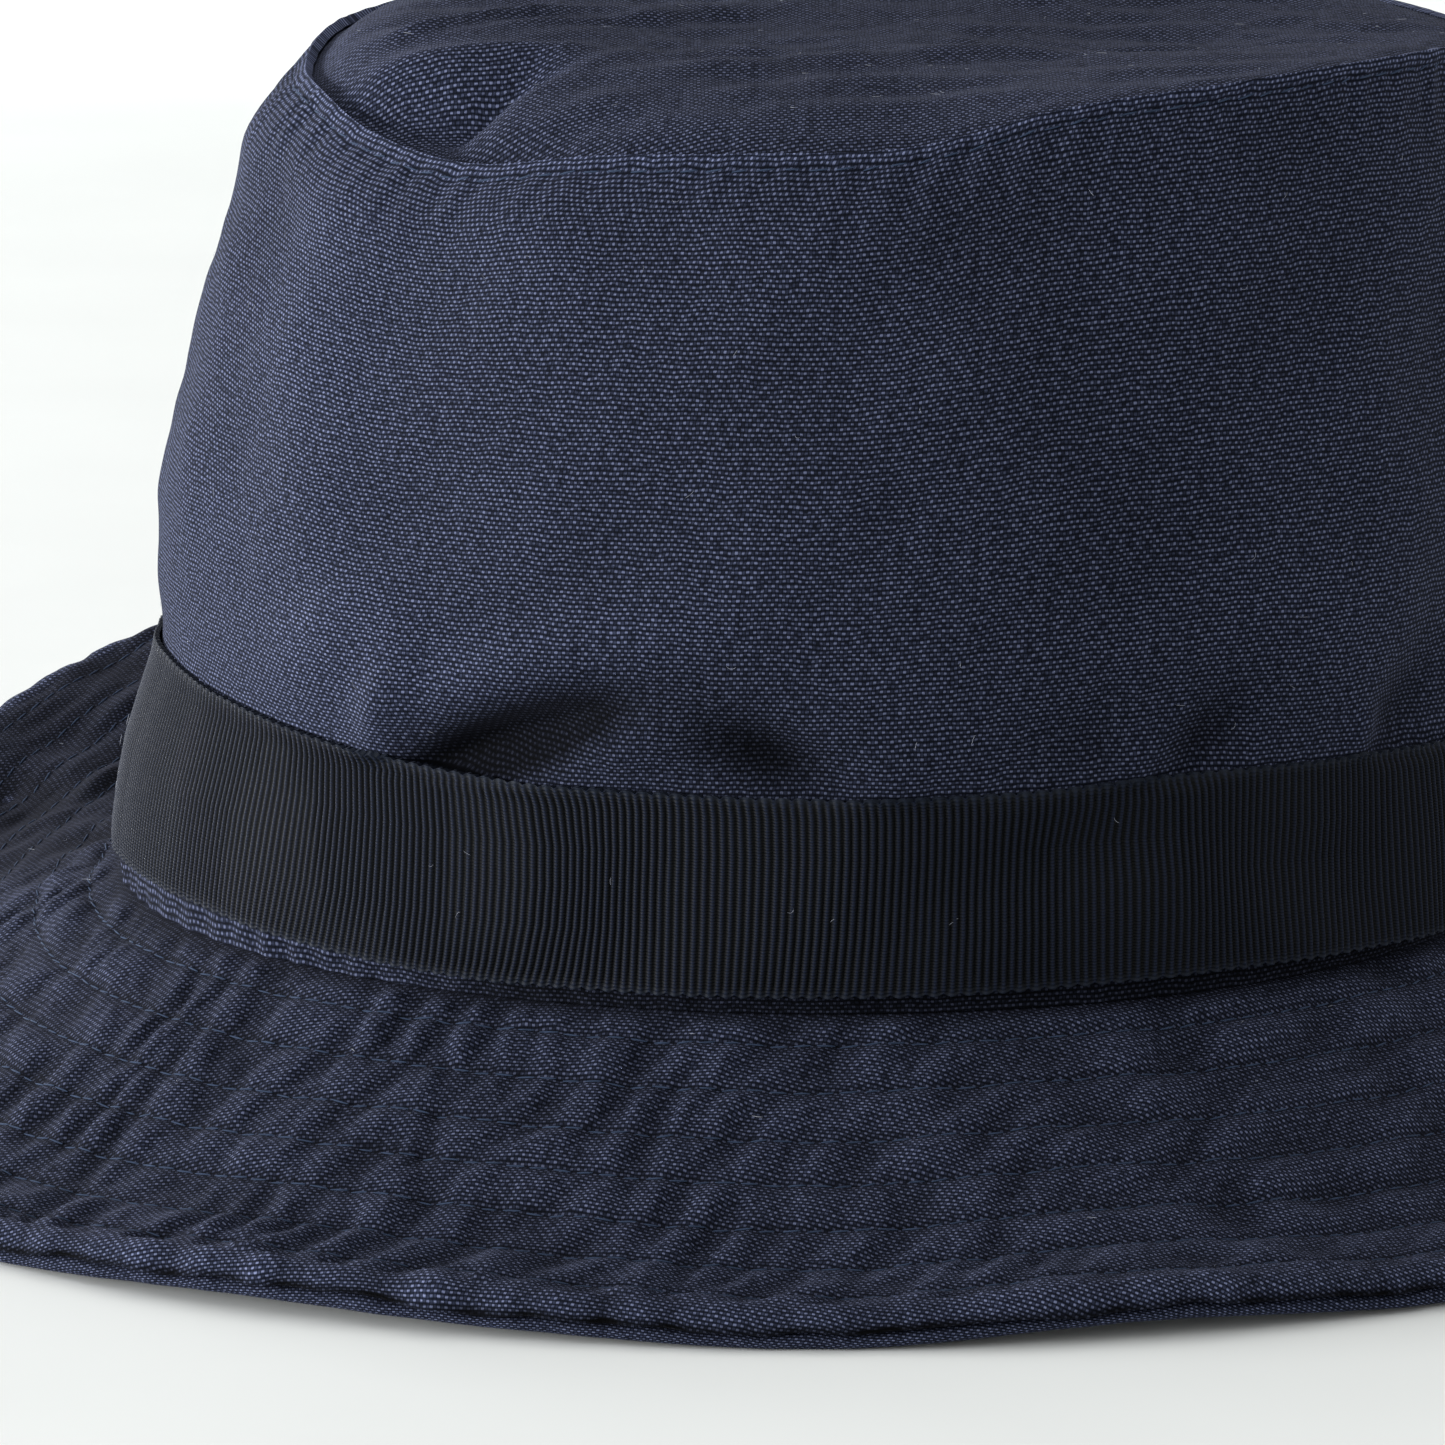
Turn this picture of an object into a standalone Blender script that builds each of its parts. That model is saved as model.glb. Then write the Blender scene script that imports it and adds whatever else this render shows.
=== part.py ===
"""A soft canvas hat with a ribbon band, resting on its brim.

The crown is a round tip sewn inside two side panels, a ribbed ribbon goes round its
foot, and the brim is two layers of cloth closed by a puffy edge. The front and sides of
the brim lie on the surface and its back stands up, so every height is a function of the
angle round the head. Metres, +Z up, -Y to the front, origin under the middle of the hat.
"""
from collections import namedtuple
from math import cos, exp, floor, hypot, log, pi, radians, sin

import bmesh
import bpy
from mathutils import Vector

# Cloth
CANVAS = 0.0014
RIBBON = 0.0008
GAP = 0.0003

# Crown, measured on the outside of its canvas
HEAD_WIDTH = 0.1944
HEAD_DEPTH = 0.1776
TIP_WIDTH = 0.1630
TIP_DEPTH = 0.1490
TIP_LEAN = 0.0110
FRONT_SAG = 0.0020
SEAM_HEIGHT = 0.0292
CROWN_HEIGHT = 0.1150
TIP_DROP = 0.0010
TIP_DOME = 0.0030
TIP_TURNING = 0.09
DENT_DEPTH = 0.0040

# Ribbon band
BAND_RAISE = 0.0030
BAND_WIDTH = 0.0270
BAND_LAP = 15.0

# Brim
BRIM_WIDTH = 0.0590
BRIM_MARGIN = 0.0042
FLAT_SHARE = 0.29
RIM_LIFT = 0.0380
EDGE_WIDTH = 0.0062
EDGE_PUFF = 0.0023
EDGE_SEAM = 0.44

# Angles are degrees round the head: -90 is the front, 0 the wearer's left
STEP = 5
SIDE_SEAM = -20
BAND_START = -30

# Heights round the hat, every 15 degrees from the wearer's right, as shares of
# BAND_RAISE, BAND_WIDTH, CROWN_HEIGHT and RIM_LIFT
Around = namedtuple("Around", "angle raise_ band top lift")
AROUND = [
    Around(-180, 1.45, 1.07, 0.977, 0.00),
    Around(-165, 1.60, 1.05, 0.972, 0.00),
    Around(-150, 1.60, 1.01, 0.943, 0.00),
    Around(-135, 1.20, 0.99, 0.931, 0.00),
    Around(-120, 0.90, 0.98, 0.957, 0.05),
    Around(-105, 0.90, 0.98, 0.970, 0.03),
    Around(-90, 0.90, 0.97, 0.981, 0.00),
    Around(-75, 1.00, 0.98, 1.024, 0.06),
    Around(-60, 1.10, 0.99, 1.040, 0.01),
    Around(-45, 0.90, 0.97, 1.048, 0.00),
    Around(-30, 0.80, 0.95, 1.045, 0.00),
    Around(-15, 0.85, 0.95, 1.033, 0.00),
    Around(0, 0.90, 0.96, 1.016, 0.00),
    Around(15, 0.95, 0.98, 1.003, 0.00),
    Around(30, 1.00, 1.00, 1.004, 0.08),
    Around(45, 1.00, 1.00, 1.008, 0.26),
    Around(60, 1.00, 1.00, 1.016, 0.52),
    Around(75, 1.00, 1.00, 1.024, 0.76),
    Around(90, 1.00, 1.00, 1.030, 0.92),
    Around(105, 1.00, 1.01, 1.024, 1.00),
    Around(120, 1.00, 1.02, 1.020, 0.98),
    Around(135, 1.10, 1.03, 1.016, 0.81),
    Around(150, 1.20, 1.05, 1.004, 0.46),
    Around(165, 1.30, 1.06, 0.998, 0.07),
]

# Stations up the side: 0 the brim seam, 1 and 2 the band's edges, 3 the tip seam.
# narrow and shallow go from the head's size, 0, to the tip's, 1, and lean and sag are
# shares of TIP_LEAN and FRONT_SAG
Level = namedtuple("Level", "station narrow shallow lean sag")
LEVELS = [
    Level(0.00, 0.00, 0.00, 0.00, 0.00),
    Level(1.00, 0.00, 0.00, 0.00, 0.00),
    Level(1.50, 0.06, 0.01, 0.09, 0.25),
    Level(2.00, 0.20, 0.04, 0.27, 0.75),
    Level(2.12, 0.17, -0.04, 0.27, 1.00),
    Level(2.28, 0.19, 0.00, 0.32, 1.00),
    Level(2.60, 0.44, 0.26, 0.50, 0.60),
    Level(2.78, 0.61, 0.49, 0.64, 0.30),
    Level(2.94, 0.83, 0.78, 0.80, 0.00),
    Level(3.00, 1.00, 1.00, 1.00, 0.00),
]
SIDE_ROWS = [0.0, 1.0, 1.5, 2.0, 2.06, 2.14, 2.24, 2.38, 2.55, 2.74, 3.0 - TIP_TURNING, 3.0]

# Dents and soft bulges of the side: centre, half spreads and depth as a share of
# DENT_DEPTH, inwards when positive. slant raises the dent by stations per degree
Dent = namedtuple("Dent", "angle station wide tall slant depth")
SIDE_DENTS = [
    Dent(-118, 2.10, 11, 0.07, 0.008, 1.00),
    Dent(-92, 2.09, 7, 0.08, 0.004, 0.55),
    Dent(-60, 2.07, 6, 0.06, 0.006, 0.50),
    Dent(-32, 2.10, 7, 0.10, 0.000, 0.60),
    Dent(-134, 2.22, 10, 0.11, 0.010, -0.50),
    Dent(-105, 2.24, 9, 0.10, 0.006, -0.45),
    Dent(-48, 2.20, 10, 0.12, 0.000, -0.35),
    Dent(25, 2.20, 12, 0.14, -0.004, 0.50),
    Dent(70, 2.12, 10, 0.08, 0.006, 0.70),
    Dent(115, 2.30, 14, 0.16, 0.000, 0.45),
    Dent(150, 2.14, 8, 0.08, -0.006, 0.55),
]

# Dents and ridges of the tip: centre and spread as shares of its half sizes
Hollow = namedtuple("Hollow", "x y spread depth")
TIP_HOLLOWS = [
    Hollow(-0.72, -0.42, 0.22, 1.30),
    Hollow(-0.42, -0.66, 0.16, -0.60),
    Hollow(-0.30, -0.10, 0.30, 0.50),
    Hollow(0.25, -0.45, 0.30, 0.40),
    Hollow(0.50, 0.20, 0.34, 0.60),
    Hollow(-0.10, 0.55, 0.30, -0.40),
]
TIP_RINGS = [0.93, 0.78, 0.56, 0.30, 0.0]


def between(rows, name, place):
    """Read a column of a table of rows at a place along its first column."""
    for low, high in zip(rows, rows[1:]):
        if place <= high[0]:
            share = (place - low[0]) / (high[0] - low[0])
            return getattr(low, name) * (1 - share) + getattr(high, name) * share
    return getattr(rows[-1], name)


def around(name, angle):
    """Read a column of AROUND at any angle, on a smooth closed curve through its rows."""
    count = len(AROUND)
    place = (angle - AROUND[0].angle) * count / 360
    first = floor(place)
    t = place - first
    a, b, c, d = (getattr(AROUND[(first + k) % count], name) for k in (-1, 0, 1, 2))
    bend = (2 * a - 5 * b + 4 * c - d) * t + (3 * b - a - 3 * c + d) * t * t
    return b + (c - a + bend) * t / 2


def bell(distance, spread):
    """A soft hump, 1 in the middle and nearly 0 at twice its spread."""
    return exp(-((distance / spread) ** 2))


def turned(angle):
    """An angle brought within half a turn of zero."""
    return (angle + 180) % 360 - 180


def band_foot(angle):
    return SEAM_HEIGHT + GAP + BAND_RAISE * around("raise_", angle)


def side_height(angle, station):
    """Height of a station of the side panels at an angle."""
    seam = SEAM_HEIGHT + GAP
    foot = band_foot(angle)
    head = foot + BAND_WIDTH * around("band", angle)
    top = SEAM_HEIGHT + CROWN_HEIGHT * around("top", angle)
    if station <= 1:
        return seam + (foot - seam) * station
    if station <= 2:
        return foot + (head - foot) * (station - 1)
    return head + (top - head) * (station - 2)


def side_ring(angle, station):
    """A point of the crown's plain outer form, before its dents."""
    width = HEAD_WIDTH + (TIP_WIDTH - HEAD_WIDTH) * between(LEVELS, "narrow", station)
    depth = HEAD_DEPTH + (TIP_DEPTH - HEAD_DEPTH) * between(LEVELS, "shallow", station)
    x = width / 2 * cos(radians(angle)) + TIP_LEAN * between(LEVELS, "lean", station)
    y = depth / 2 * sin(radians(angle)) - FRONT_SAG * between(LEVELS, "sag", station)
    return Vector((x, y, side_height(angle, station)))


def side_dent(angle, station):
    """How far the side is pushed in at an angle and a station."""
    depth = 0.0
    for dent in SIDE_DENTS:
        off = turned(angle - dent.angle)
        rise = station - dent.station - dent.slant * off
        depth += dent.depth * bell(off, dent.wide) * bell(rise, dent.tall)
    return depth * DENT_DEPTH


def side_point(angle, station, inward=0.0):
    """A point on the crown's outer canvas, or this far inside it."""
    small = 0.5
    here = side_ring(angle, station)
    along = side_ring(angle + small, station) - side_ring(angle - small, station)
    low, high = max(0, station - 0.05), min(3, station + 0.05)
    up = side_ring(angle, high) - side_ring(angle, low)
    outward = along.cross(up).normalized()
    return here - outward * (inward + side_dent(angle, station))


def tip_edge(angle, station):
    """A point of the turned-down edge of the tip, inside the side panels."""
    return side_point(angle, station, CANVAS + GAP)


TIP_ANGLES = range(0, 360, STEP)
TIP_MIDDLE = sum((tip_edge(angle, 3) for angle in TIP_ANGLES), Vector()) / len(TIP_ANGLES)


def tip_point(angle, share):
    """A point of the tip, share 1 at its seam and 0 in its middle."""
    edge = tip_edge(angle, 3)
    point = TIP_MIDDLE.lerp(edge, share)
    point.z = TIP_MIDDLE.z + (edge.z - TIP_MIDDLE.z) * share * share
    point.z += TIP_DOME * (1 - share * share) - TIP_DROP
    across = (point.x - TIP_MIDDLE.x) / (TIP_WIDTH / 2)
    along = (point.y - TIP_MIDDLE.y) / (TIP_DEPTH / 2)
    for hollow in TIP_HOLLOWS:
        far = hypot(across - hollow.x, along - hollow.y)
        point.z -= hollow.depth * DENT_DEPTH * bell(far, hollow.spread) * (1 - share ** 6)
    return point


def brim_fall(reach):
    """Share of the brim's fall left at a reach: a straight slope, then a flat rim."""
    soft = 0.05
    knee = 1 - FLAT_SHARE
    left = soft * log(1 + exp((knee - reach) / soft)) / knee
    return min(1.0, left)


def rim_foot(angle):
    """Height of the rim's underside above the surface: it can't go below it."""
    return max(0.0, RIM_LIFT * around("lift", angle))


EDGE_HEIGHT = 2 * CANVAS + GAP + EDGE_PUFF


def brim_top(angle, reach):
    """Height of the brim's upper face at a reach, 0 at the crown and 1 at the rim."""
    rim = rim_foot(angle) + EDGE_HEIGHT
    seam_flat = reach * BRIM_WIDTH <= GAP
    return rim + (SEAM_HEIGHT - rim) * (1.0 if seam_flat else brim_fall(reach))


def brim_middle(angle, reach):
    """Height of the line between the two layers, which dips inside the edge."""
    plain = brim_top(angle, reach) - CANVAS - GAP / 2
    seam = rim_foot(angle) + EDGE_SEAM * EDGE_HEIGHT
    start = 1 - 2 * EDGE_WIDTH / BRIM_WIDTH
    full = 1 - EDGE_WIDTH / 2 / BRIM_WIDTH
    share = min(1, max(0, (reach - start) / (full - start)))
    return plain + (seam - plain) * share


MARGIN = -BRIM_MARGIN / BRIM_WIDTH
EDGE = EDGE_WIDTH / BRIM_WIDTH
SLOPE = [MARGIN, 0.0, 0.34, 0.60, 0.71]


def upper_section(angle):
    """Closed section of the upper layer: over the top, round the edge and back."""
    top = [(reach, brim_top(angle, reach)) for reach in SLOPE + [1 - 1.6 * EDGE]]
    top.append((1 - 0.7 * EDGE, brim_top(angle, 1)))
    top.append((1 - 0.25 * EDGE, brim_top(angle, 1) - 0.18 * EDGE_HEIGHT))
    middle = brim_middle(angle, 1) + GAP / 2
    top.append((1, middle + 0.16 * EDGE_HEIGHT))
    top.append((1 - 0.12 * EDGE, middle))
    under_at = [1 - 0.9 * EDGE, 1 - 2 * EDGE] + SLOPE[::-1]
    return top + [(reach, brim_middle(angle, reach) + GAP / 2) for reach in under_at]


def under_section(angle):
    """Closed section of the under layer: its top, its edge and its underside."""
    over_at = SLOPE + [1 - 2 * EDGE, 1 - 0.9 * EDGE, 1 - 0.3 * EDGE]
    over = [(reach, brim_middle(angle, reach) - GAP / 2) for reach in over_at]
    foot = rim_foot(angle)
    edge = [(1 - 0.12 * EDGE, foot + 0.22 * EDGE_HEIGHT), (1 - 0.35 * EDGE, foot)]
    edge.append((1 - EDGE, foot))
    layers = 2 * CANVAS + GAP
    under_at = [1 - 1.4 * EDGE] + SLOPE[::-1]
    return over + edge + [(reach, brim_top(angle, reach) - layers) for reach in under_at]


def brim_place(angle, reach, height):
    out = reach * BRIM_WIDTH
    x = (HEAD_WIDTH / 2 + out) * cos(radians(angle))
    y = (HEAD_DEPTH / 2 + out) * sin(radians(angle))
    return Vector((x, y, height))


def laid_grid(name, columns, rows, place):
    """A grid of faces with each corner moved to place(column, row), meeting corners merged.

    Its faces are split along their shorter diagonal, so that cloth laid on cloth is split
    the same way and keeps its gap.
    """
    mesh = bpy.data.meshes.new(name)
    grid = bmesh.new()
    bmesh.ops.create_grid(grid, x_segments=columns, y_segments=rows, size=0.5)
    for corner in grid.verts:
        column = round((corner.co.x + 0.5) * columns)
        row = round((corner.co.y + 0.5) * rows)
        corner.co = place(column, row)
    bmesh.ops.remove_doubles(grid, verts=grid.verts, dist=1e-6)
    bmesh.ops.triangulate(grid, faces=grid.faces, quad_method="SHORT_EDGE")
    grid.to_mesh(mesh)
    grid.free()
    mesh.shade_smooth()
    piece = bpy.data.objects.new(name, mesh)
    hat.objects.link(piece)
    return piece


def thicken(piece, wall):
    """Give an outer surface its wall, inwards."""
    solid = piece.modifiers.new("wall", "SOLIDIFY")
    solid.thickness = wall
    solid.offset = -1
    solid.use_even_offset = True
    return piece


def side_panel(name, start):
    """Half of the crown's side, from one side seam to the other, clear of its twin."""
    columns = 180 // STEP
    shy = GAP / 2 / (HEAD_WIDTH / 2) * 180 / pi

    def place(column, row):
        angle = start + column * STEP
        angle += shy * ((column == 0) - (column == columns))
        return side_point(angle, SIDE_ROWS[row])

    return thicken(laid_grid(name, columns, len(SIDE_ROWS) - 1, place), CANVAS)


def crown_tip():
    """The round top: its edge turned down inside the sides, then rings to its middle."""
    turning = [3 - TIP_TURNING]

    def place(column, row):
        angle = column % (360 // STEP) * STEP
        if row < len(turning):
            return tip_edge(angle, turning[row])
        shares = [1.0] + TIP_RINGS
        return tip_point(angle, shares[row - len(turning)])

    rows = len(turning) + len(TIP_RINGS)
    return thicken(laid_grid("crown_tip", 360 // STEP, rows, place), CANVAS)


def hat_band():
    """The ribbon: once round the crown's foot, with its end lapped over its start."""
    columns = round((360 + BAND_LAP) / STEP)
    stations = [1.0, 1.5, 2.0]
    close = GAP + RIBBON
    ramp = 3

    def place(column, row):
        over = min(1, max(0, (column - (360 // STEP - ramp)) / (ramp - 1)))
        outward = close + over * (RIBBON + GAP)
        return side_point(BAND_START + column * STEP, stations[row], -outward)

    return thicken(laid_grid("hat_band", columns, len(stations) - 1, place), RIBBON)


def brim_layer(name, section):
    """A layer of the brim: its closed section carried round the head."""
    columns = 360 // STEP
    rows = len(section(0))
    sections = [section(column * STEP) for column in range(columns)]

    def place(column, row):
        column %= columns
        reach, height = sections[column][row % rows]
        return brim_place(column * STEP, reach, height)

    piece = laid_grid(name, columns, rows, place)
    turn = bmesh.new()
    turn.from_mesh(piece.data)
    bmesh.ops.recalc_face_normals(turn, faces=turn.faces)
    turn.to_mesh(piece.data)
    turn.free()
    return piece


def cloth(name, colour, roughness):
    """A plain cloth finish."""
    finish = bpy.data.materials.new(name)
    finish.use_nodes = True
    shader = finish.node_tree.nodes["Principled BSDF"]
    shader.inputs["Base Color"].default_value = (*colour, 1)
    shader.inputs["Roughness"].default_value = roughness
    shader.inputs["Metallic"].default_value = 0
    return finish


for old in list(bpy.data.objects):
    bpy.data.objects.remove(old)
hat = bpy.data.collections.new("canvas_hat")
bpy.context.scene.collection.children.link(hat)

canvas = cloth("navy_canvas", (0.018, 0.024, 0.050), 0.90)
ribbon = cloth("black_ribbon", (0.006, 0.008, 0.012), 0.75)
pieces = {
    side_panel("crown_side_front", SIDE_SEAM - 180): canvas,
    side_panel("crown_side_back", SIDE_SEAM): canvas,
    crown_tip(): canvas,
    hat_band(): ribbon,
    brim_layer("brim_upper", upper_section): canvas,
    brim_layer("brim_under", under_section): canvas,
}
for piece, finish in pieces.items():
    piece.data.materials.append(finish)
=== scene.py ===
# %% [markdown]
# # A washed canvas hat, dressed cell by cell
# The frame holds the hat as plain solids: two side panels, a round tip, a ribbon and the
# two layers of the brim. This lesson gives each of them the surface of the sewn thing,
# with its puckers, folds, ribs and stitches, and leaves the sizes as they are.
# Lengths are metres and angles are degrees round the head: -90 is the front.

# %% Load the frame
from collections import namedtuple

import bpy
import numpy as np
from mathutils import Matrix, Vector


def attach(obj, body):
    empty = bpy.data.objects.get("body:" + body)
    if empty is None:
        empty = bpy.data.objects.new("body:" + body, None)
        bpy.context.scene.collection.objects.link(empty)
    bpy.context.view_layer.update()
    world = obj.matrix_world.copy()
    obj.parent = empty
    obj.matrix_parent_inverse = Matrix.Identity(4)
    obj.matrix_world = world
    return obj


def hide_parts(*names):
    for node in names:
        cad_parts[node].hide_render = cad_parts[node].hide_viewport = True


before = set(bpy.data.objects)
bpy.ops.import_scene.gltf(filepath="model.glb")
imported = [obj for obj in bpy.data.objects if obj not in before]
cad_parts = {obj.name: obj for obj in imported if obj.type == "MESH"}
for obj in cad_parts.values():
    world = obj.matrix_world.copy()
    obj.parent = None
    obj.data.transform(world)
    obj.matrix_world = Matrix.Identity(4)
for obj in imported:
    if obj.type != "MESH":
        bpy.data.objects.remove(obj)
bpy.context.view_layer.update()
MM = 0.001

# %% [markdown]
# ## The camera
# The photograph was taken with a long lens from a little above the brim, so near and far
# edges keep almost the same scale. A camera 1.4 m away with a lens of about 257 mm on a
# 36 mm wide sensor draws the band's and the brim's curves as they are seen.

# %% Camera
CAMERA_PLACE = (-0.0135, -1.400, 0.3581)
CAMERA_DOWN = 12.45
LENS = 256.6
eye = bpy.data.cameras.new("eye")
eye.lens = LENS
eye.sensor_width = 36
camera = bpy.data.objects.new("eye", eye)
camera.location = CAMERA_PLACE
camera.rotation_euler = (np.radians(90 - CAMERA_DOWN), 0, 0)
bpy.context.scene.collection.objects.link(camera)
bpy.context.scene.camera = camera
print("camera stands", round(Vector(CAMERA_PLACE).length, 3), "m from the hat's foot")

# %% [markdown]
# ## How cloth is laid
# A sewn panel could be draped by simulation, but this hat is washed, stitched stiff and
# seen from close by, so its folds are given one by one. Each panel starts as a flat grid,
# like cloth on a table, and every corner of the grid is moved to a place that a small
# function gives. The same function tells how far along the threads the corner lies, and
# that becomes the weave map, so the weave follows the cloth over every fold.

# %% Lay a grid of cloth
def lay_cloth(name, columns, rows, place):
    """A grid moved to place(column, row), which gives points, weave map, and wear with painted
    shade and light.
    """
    bpy.ops.object.select_all(action="DESELECT")
    bpy.ops.mesh.primitive_grid_add(x_subdivisions=columns, y_subdivisions=rows, size=2)
    piece = bpy.context.object
    piece.name = piece.data.name = name
    mesh = piece.data
    flat = np.empty(len(mesh.vertices) * 3)
    mesh.vertices.foreach_get("co", flat)
    flat = flat.reshape(-1, 3)
    column = np.rint((flat[:, 0] + 1) / 2 * columns).astype(int)
    row = np.rint((flat[:, 1] + 1) / 2 * rows).astype(int)
    points, threads, wear_and_shading = place(column, row)
    mesh.vertices.foreach_set("co", points.ravel())
    corner = np.empty(len(mesh.loops), int)
    mesh.loops.foreach_get("vertex_index", corner)
    weave = mesh.uv_layers[0]
    weave.name = "weave"
    weave.uv.foreach_set("vector", (threads[corner] / MM).ravel())
    shading_and_wear = mesh.attributes.new("wear_and_shading", "FLOAT", "POINT")
    shading_and_wear.data.foreach_set("value", wear_and_shading)
    return piece


def close_cloth(piece):
    """Merge the corners that meet and turn the faces outwards."""
    bpy.ops.object.select_all(action="DESELECT")
    piece.select_set(True)
    bpy.context.view_layer.objects.active = piece
    bpy.ops.object.mode_set(mode="EDIT")
    bpy.ops.mesh.select_all(action="SELECT")
    bpy.ops.mesh.remove_doubles(threshold=0.002 * MM)
    bpy.ops.mesh.normals_make_consistent(inside=False)
    bpy.ops.object.mode_set(mode="OBJECT")
    bpy.ops.object.shade_smooth()
    return piece


def harden(piece, kind, **settings):
    """Add a modifier with its settings and apply it."""
    bpy.context.view_layer.objects.active = piece
    modifier = piece.modifiers.new(kind.lower(), kind)
    for name, value in settings.items():
        setattr(modifier, name, value)
    bpy.ops.object.modifier_apply(modifier=modifier.name)


# %% [markdown]
# Cloth never lies in even waves. A sum of a few dozen sine waves with drawn directions and
# lengths gives an uneven ripple of a chosen scale, and its waves can be kept to one
# direction, as puckers are. The draws are seeded, so the hat is the same every time.

# %% Ripples
def ripple(x, y, length, seed, heading=0.0, spread=90.0, waves=26):
    """Uneven waves of about this length that travel along heading, mostly within +-1."""
    draw = np.random.default_rng(seed)
    headings = np.radians(draw.uniform(heading - spread, heading + spread, waves))
    pitches = 2 * np.pi / (length * draw.uniform(0.72, 1.5, waves))
    phases = draw.uniform(0, 2 * np.pi, waves)
    total = np.zeros(np.broadcast(x, y).shape)
    for way, pitch, phase in zip(headings, pitches, phases):
        total += np.sin(pitch * (x * np.cos(way) + y * np.sin(way)) + phase)
    return total / np.sqrt(waves)


def bell(distance, spread):
    """A soft hump, 1 in the middle and nearly 0 at twice its spread."""
    return np.exp(-((distance / spread) ** 2))


def turned(angle):
    """An angle brought within half a turn of zero."""
    return (angle + 180) % 360 - 180


def facing(angle, middle, spread):
    """A soft hump round the hat, 1 at the middle angle."""
    return bell(turned(angle - middle), spread)


def eased(low, high, value):
    """0 up to low, 1 from high, and a smooth step between."""
    share = np.clip((value - low) / (high - low), 0, 1)
    return share * share * (3 - 2 * share)


# %% [markdown]
# ## The form of the crown
# The crown is oval at the head and rounder at the tip, and it leans to one side, because
# nothing fills it. Four lists say how its heights change round the head, every 15 degrees
# from the wearer's right, and four more say how a section narrows on its way up. They
# follow the shares of the frame's solids, read along smooth curves, but for a little more
# lift at the back of the brim, where the cloth stands up.

# %% Heights round the hat and the crown's section
CANVAS, RIBBON, GAP = 1.4 * MM, 0.8 * MM, 0.3 * MM
HEAD_WIDTH, HEAD_DEPTH = 194.4 * MM, 177.6 * MM
TIP_WIDTH, TIP_DEPTH = 163.0 * MM, 149.0 * MM
TIP_LEAN, FRONT_SAG = 11.0 * MM, 2.0 * MM
SEAM_HEIGHT, CROWN_HEIGHT = 29.2 * MM, 115.0 * MM
BAND_RAISE, BAND_WIDTH, BAND_LAP, BAND_START = 3.0 * MM, 27.0 * MM, 15.0, -30.0
RIM_LIFT = 38.0 * MM
AROUND = {
    "raise": [1.45, 1.60, 1.60, 1.20, 0.90, 0.90, 0.90, 1.00, 1.10, 0.90, 0.80, 0.85,
              0.90, 0.95, 1.00, 1.00, 1.00, 1.00, 1.00, 1.00, 1.00, 1.10, 1.20, 1.30],
    "band": [1.07, 1.05, 1.01, 0.99, 0.98, 0.98, 0.97, 0.98, 0.99, 0.97, 0.95, 0.95,
             0.96, 0.98, 1.00, 1.00, 1.00, 1.00, 1.00, 1.01, 1.02, 1.03, 1.05, 1.06],
    "top": [0.977, 0.972, 0.943, 0.931, 0.957, 0.970, 0.981, 1.024, 1.040, 1.048, 1.045, 1.033,
            1.016, 1.003, 1.004, 1.008, 1.016, 1.024, 1.030, 1.024, 1.020, 1.016, 1.004, 0.998],
    "lift": [0.13, 0.02, 0.00, 0.00, 0.05, 0.03, 0.00, 0.06, 0.01, 0.00, 0.00, 0.00,
             0.00, 0.00, 0.08, 0.26, 0.52, 0.76, 0.92, 1.00, 0.98, 0.81, 0.50, 0.27],
}
STATIONS = [0.00, 1.00, 1.50, 2.00, 2.12, 2.28, 2.60, 2.78, 2.94, 3.00]
SECTION = {
    "narrow": [0.00, 0.00, 0.06, 0.20, 0.17, 0.19, 0.44, 0.61, 0.83, 1.00],
    "shallow": [0.00, 0.00, 0.01, 0.04, -0.04, 0.00, 0.26, 0.49, 0.78, 1.00],
    "lean": [0.00, 0.00, 0.09, 0.27, 0.27, 0.32, 0.50, 0.64, 0.80, 1.00],
    "sag": [0.00, 0.00, 0.25, 0.75, 1.00, 1.00, 0.60, 0.30, 0.00, 0.00],
}


def around(name, angle):
    """Read a list of AROUND at any angle, on a smooth closed curve."""
    values = np.array(AROUND[name])
    place = (np.asarray(angle, float) + 180) / 15
    first = np.floor(place).astype(int)
    t = place - first
    a, b, c, d = (values[(first + k) % len(values)] for k in (-1, 0, 1, 2))
    bend = (2 * a - 5 * b + 4 * c - d) * t + (3 * b - a - 3 * c + d) * t * t
    return b + (c - a + bend) * t / 2


def rise(station):
    """Plain height of a station above the brim's seam: 1 and 2 are the band's edges."""
    heights = [0, BAND_RAISE, BAND_RAISE + BAND_WIDTH, CROWN_HEIGHT]
    return np.interp(station, [0, 1, 2, 3], heights)


def section(name, station):
    """Read a list of SECTION at any station, on a smooth curve up the side."""
    knots, values = rise(STATIONS), np.array(SECTION[name])
    slopes = np.gradient(values, knots)
    place = rise(station)
    i = np.clip(np.searchsorted(knots, place) - 1, 0, len(knots) - 2)
    step = knots[i + 1] - knots[i]
    t = (place - knots[i]) / step
    low = (2 * t**3 - 3 * t**2 + 1) * values[i] + (t**3 - 2 * t**2 + t) * step * slopes[i]
    high = (3 * t**2 - 2 * t**3) * values[i + 1] + (t**3 - t**2) * step * slopes[i + 1]
    return low + high


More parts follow.
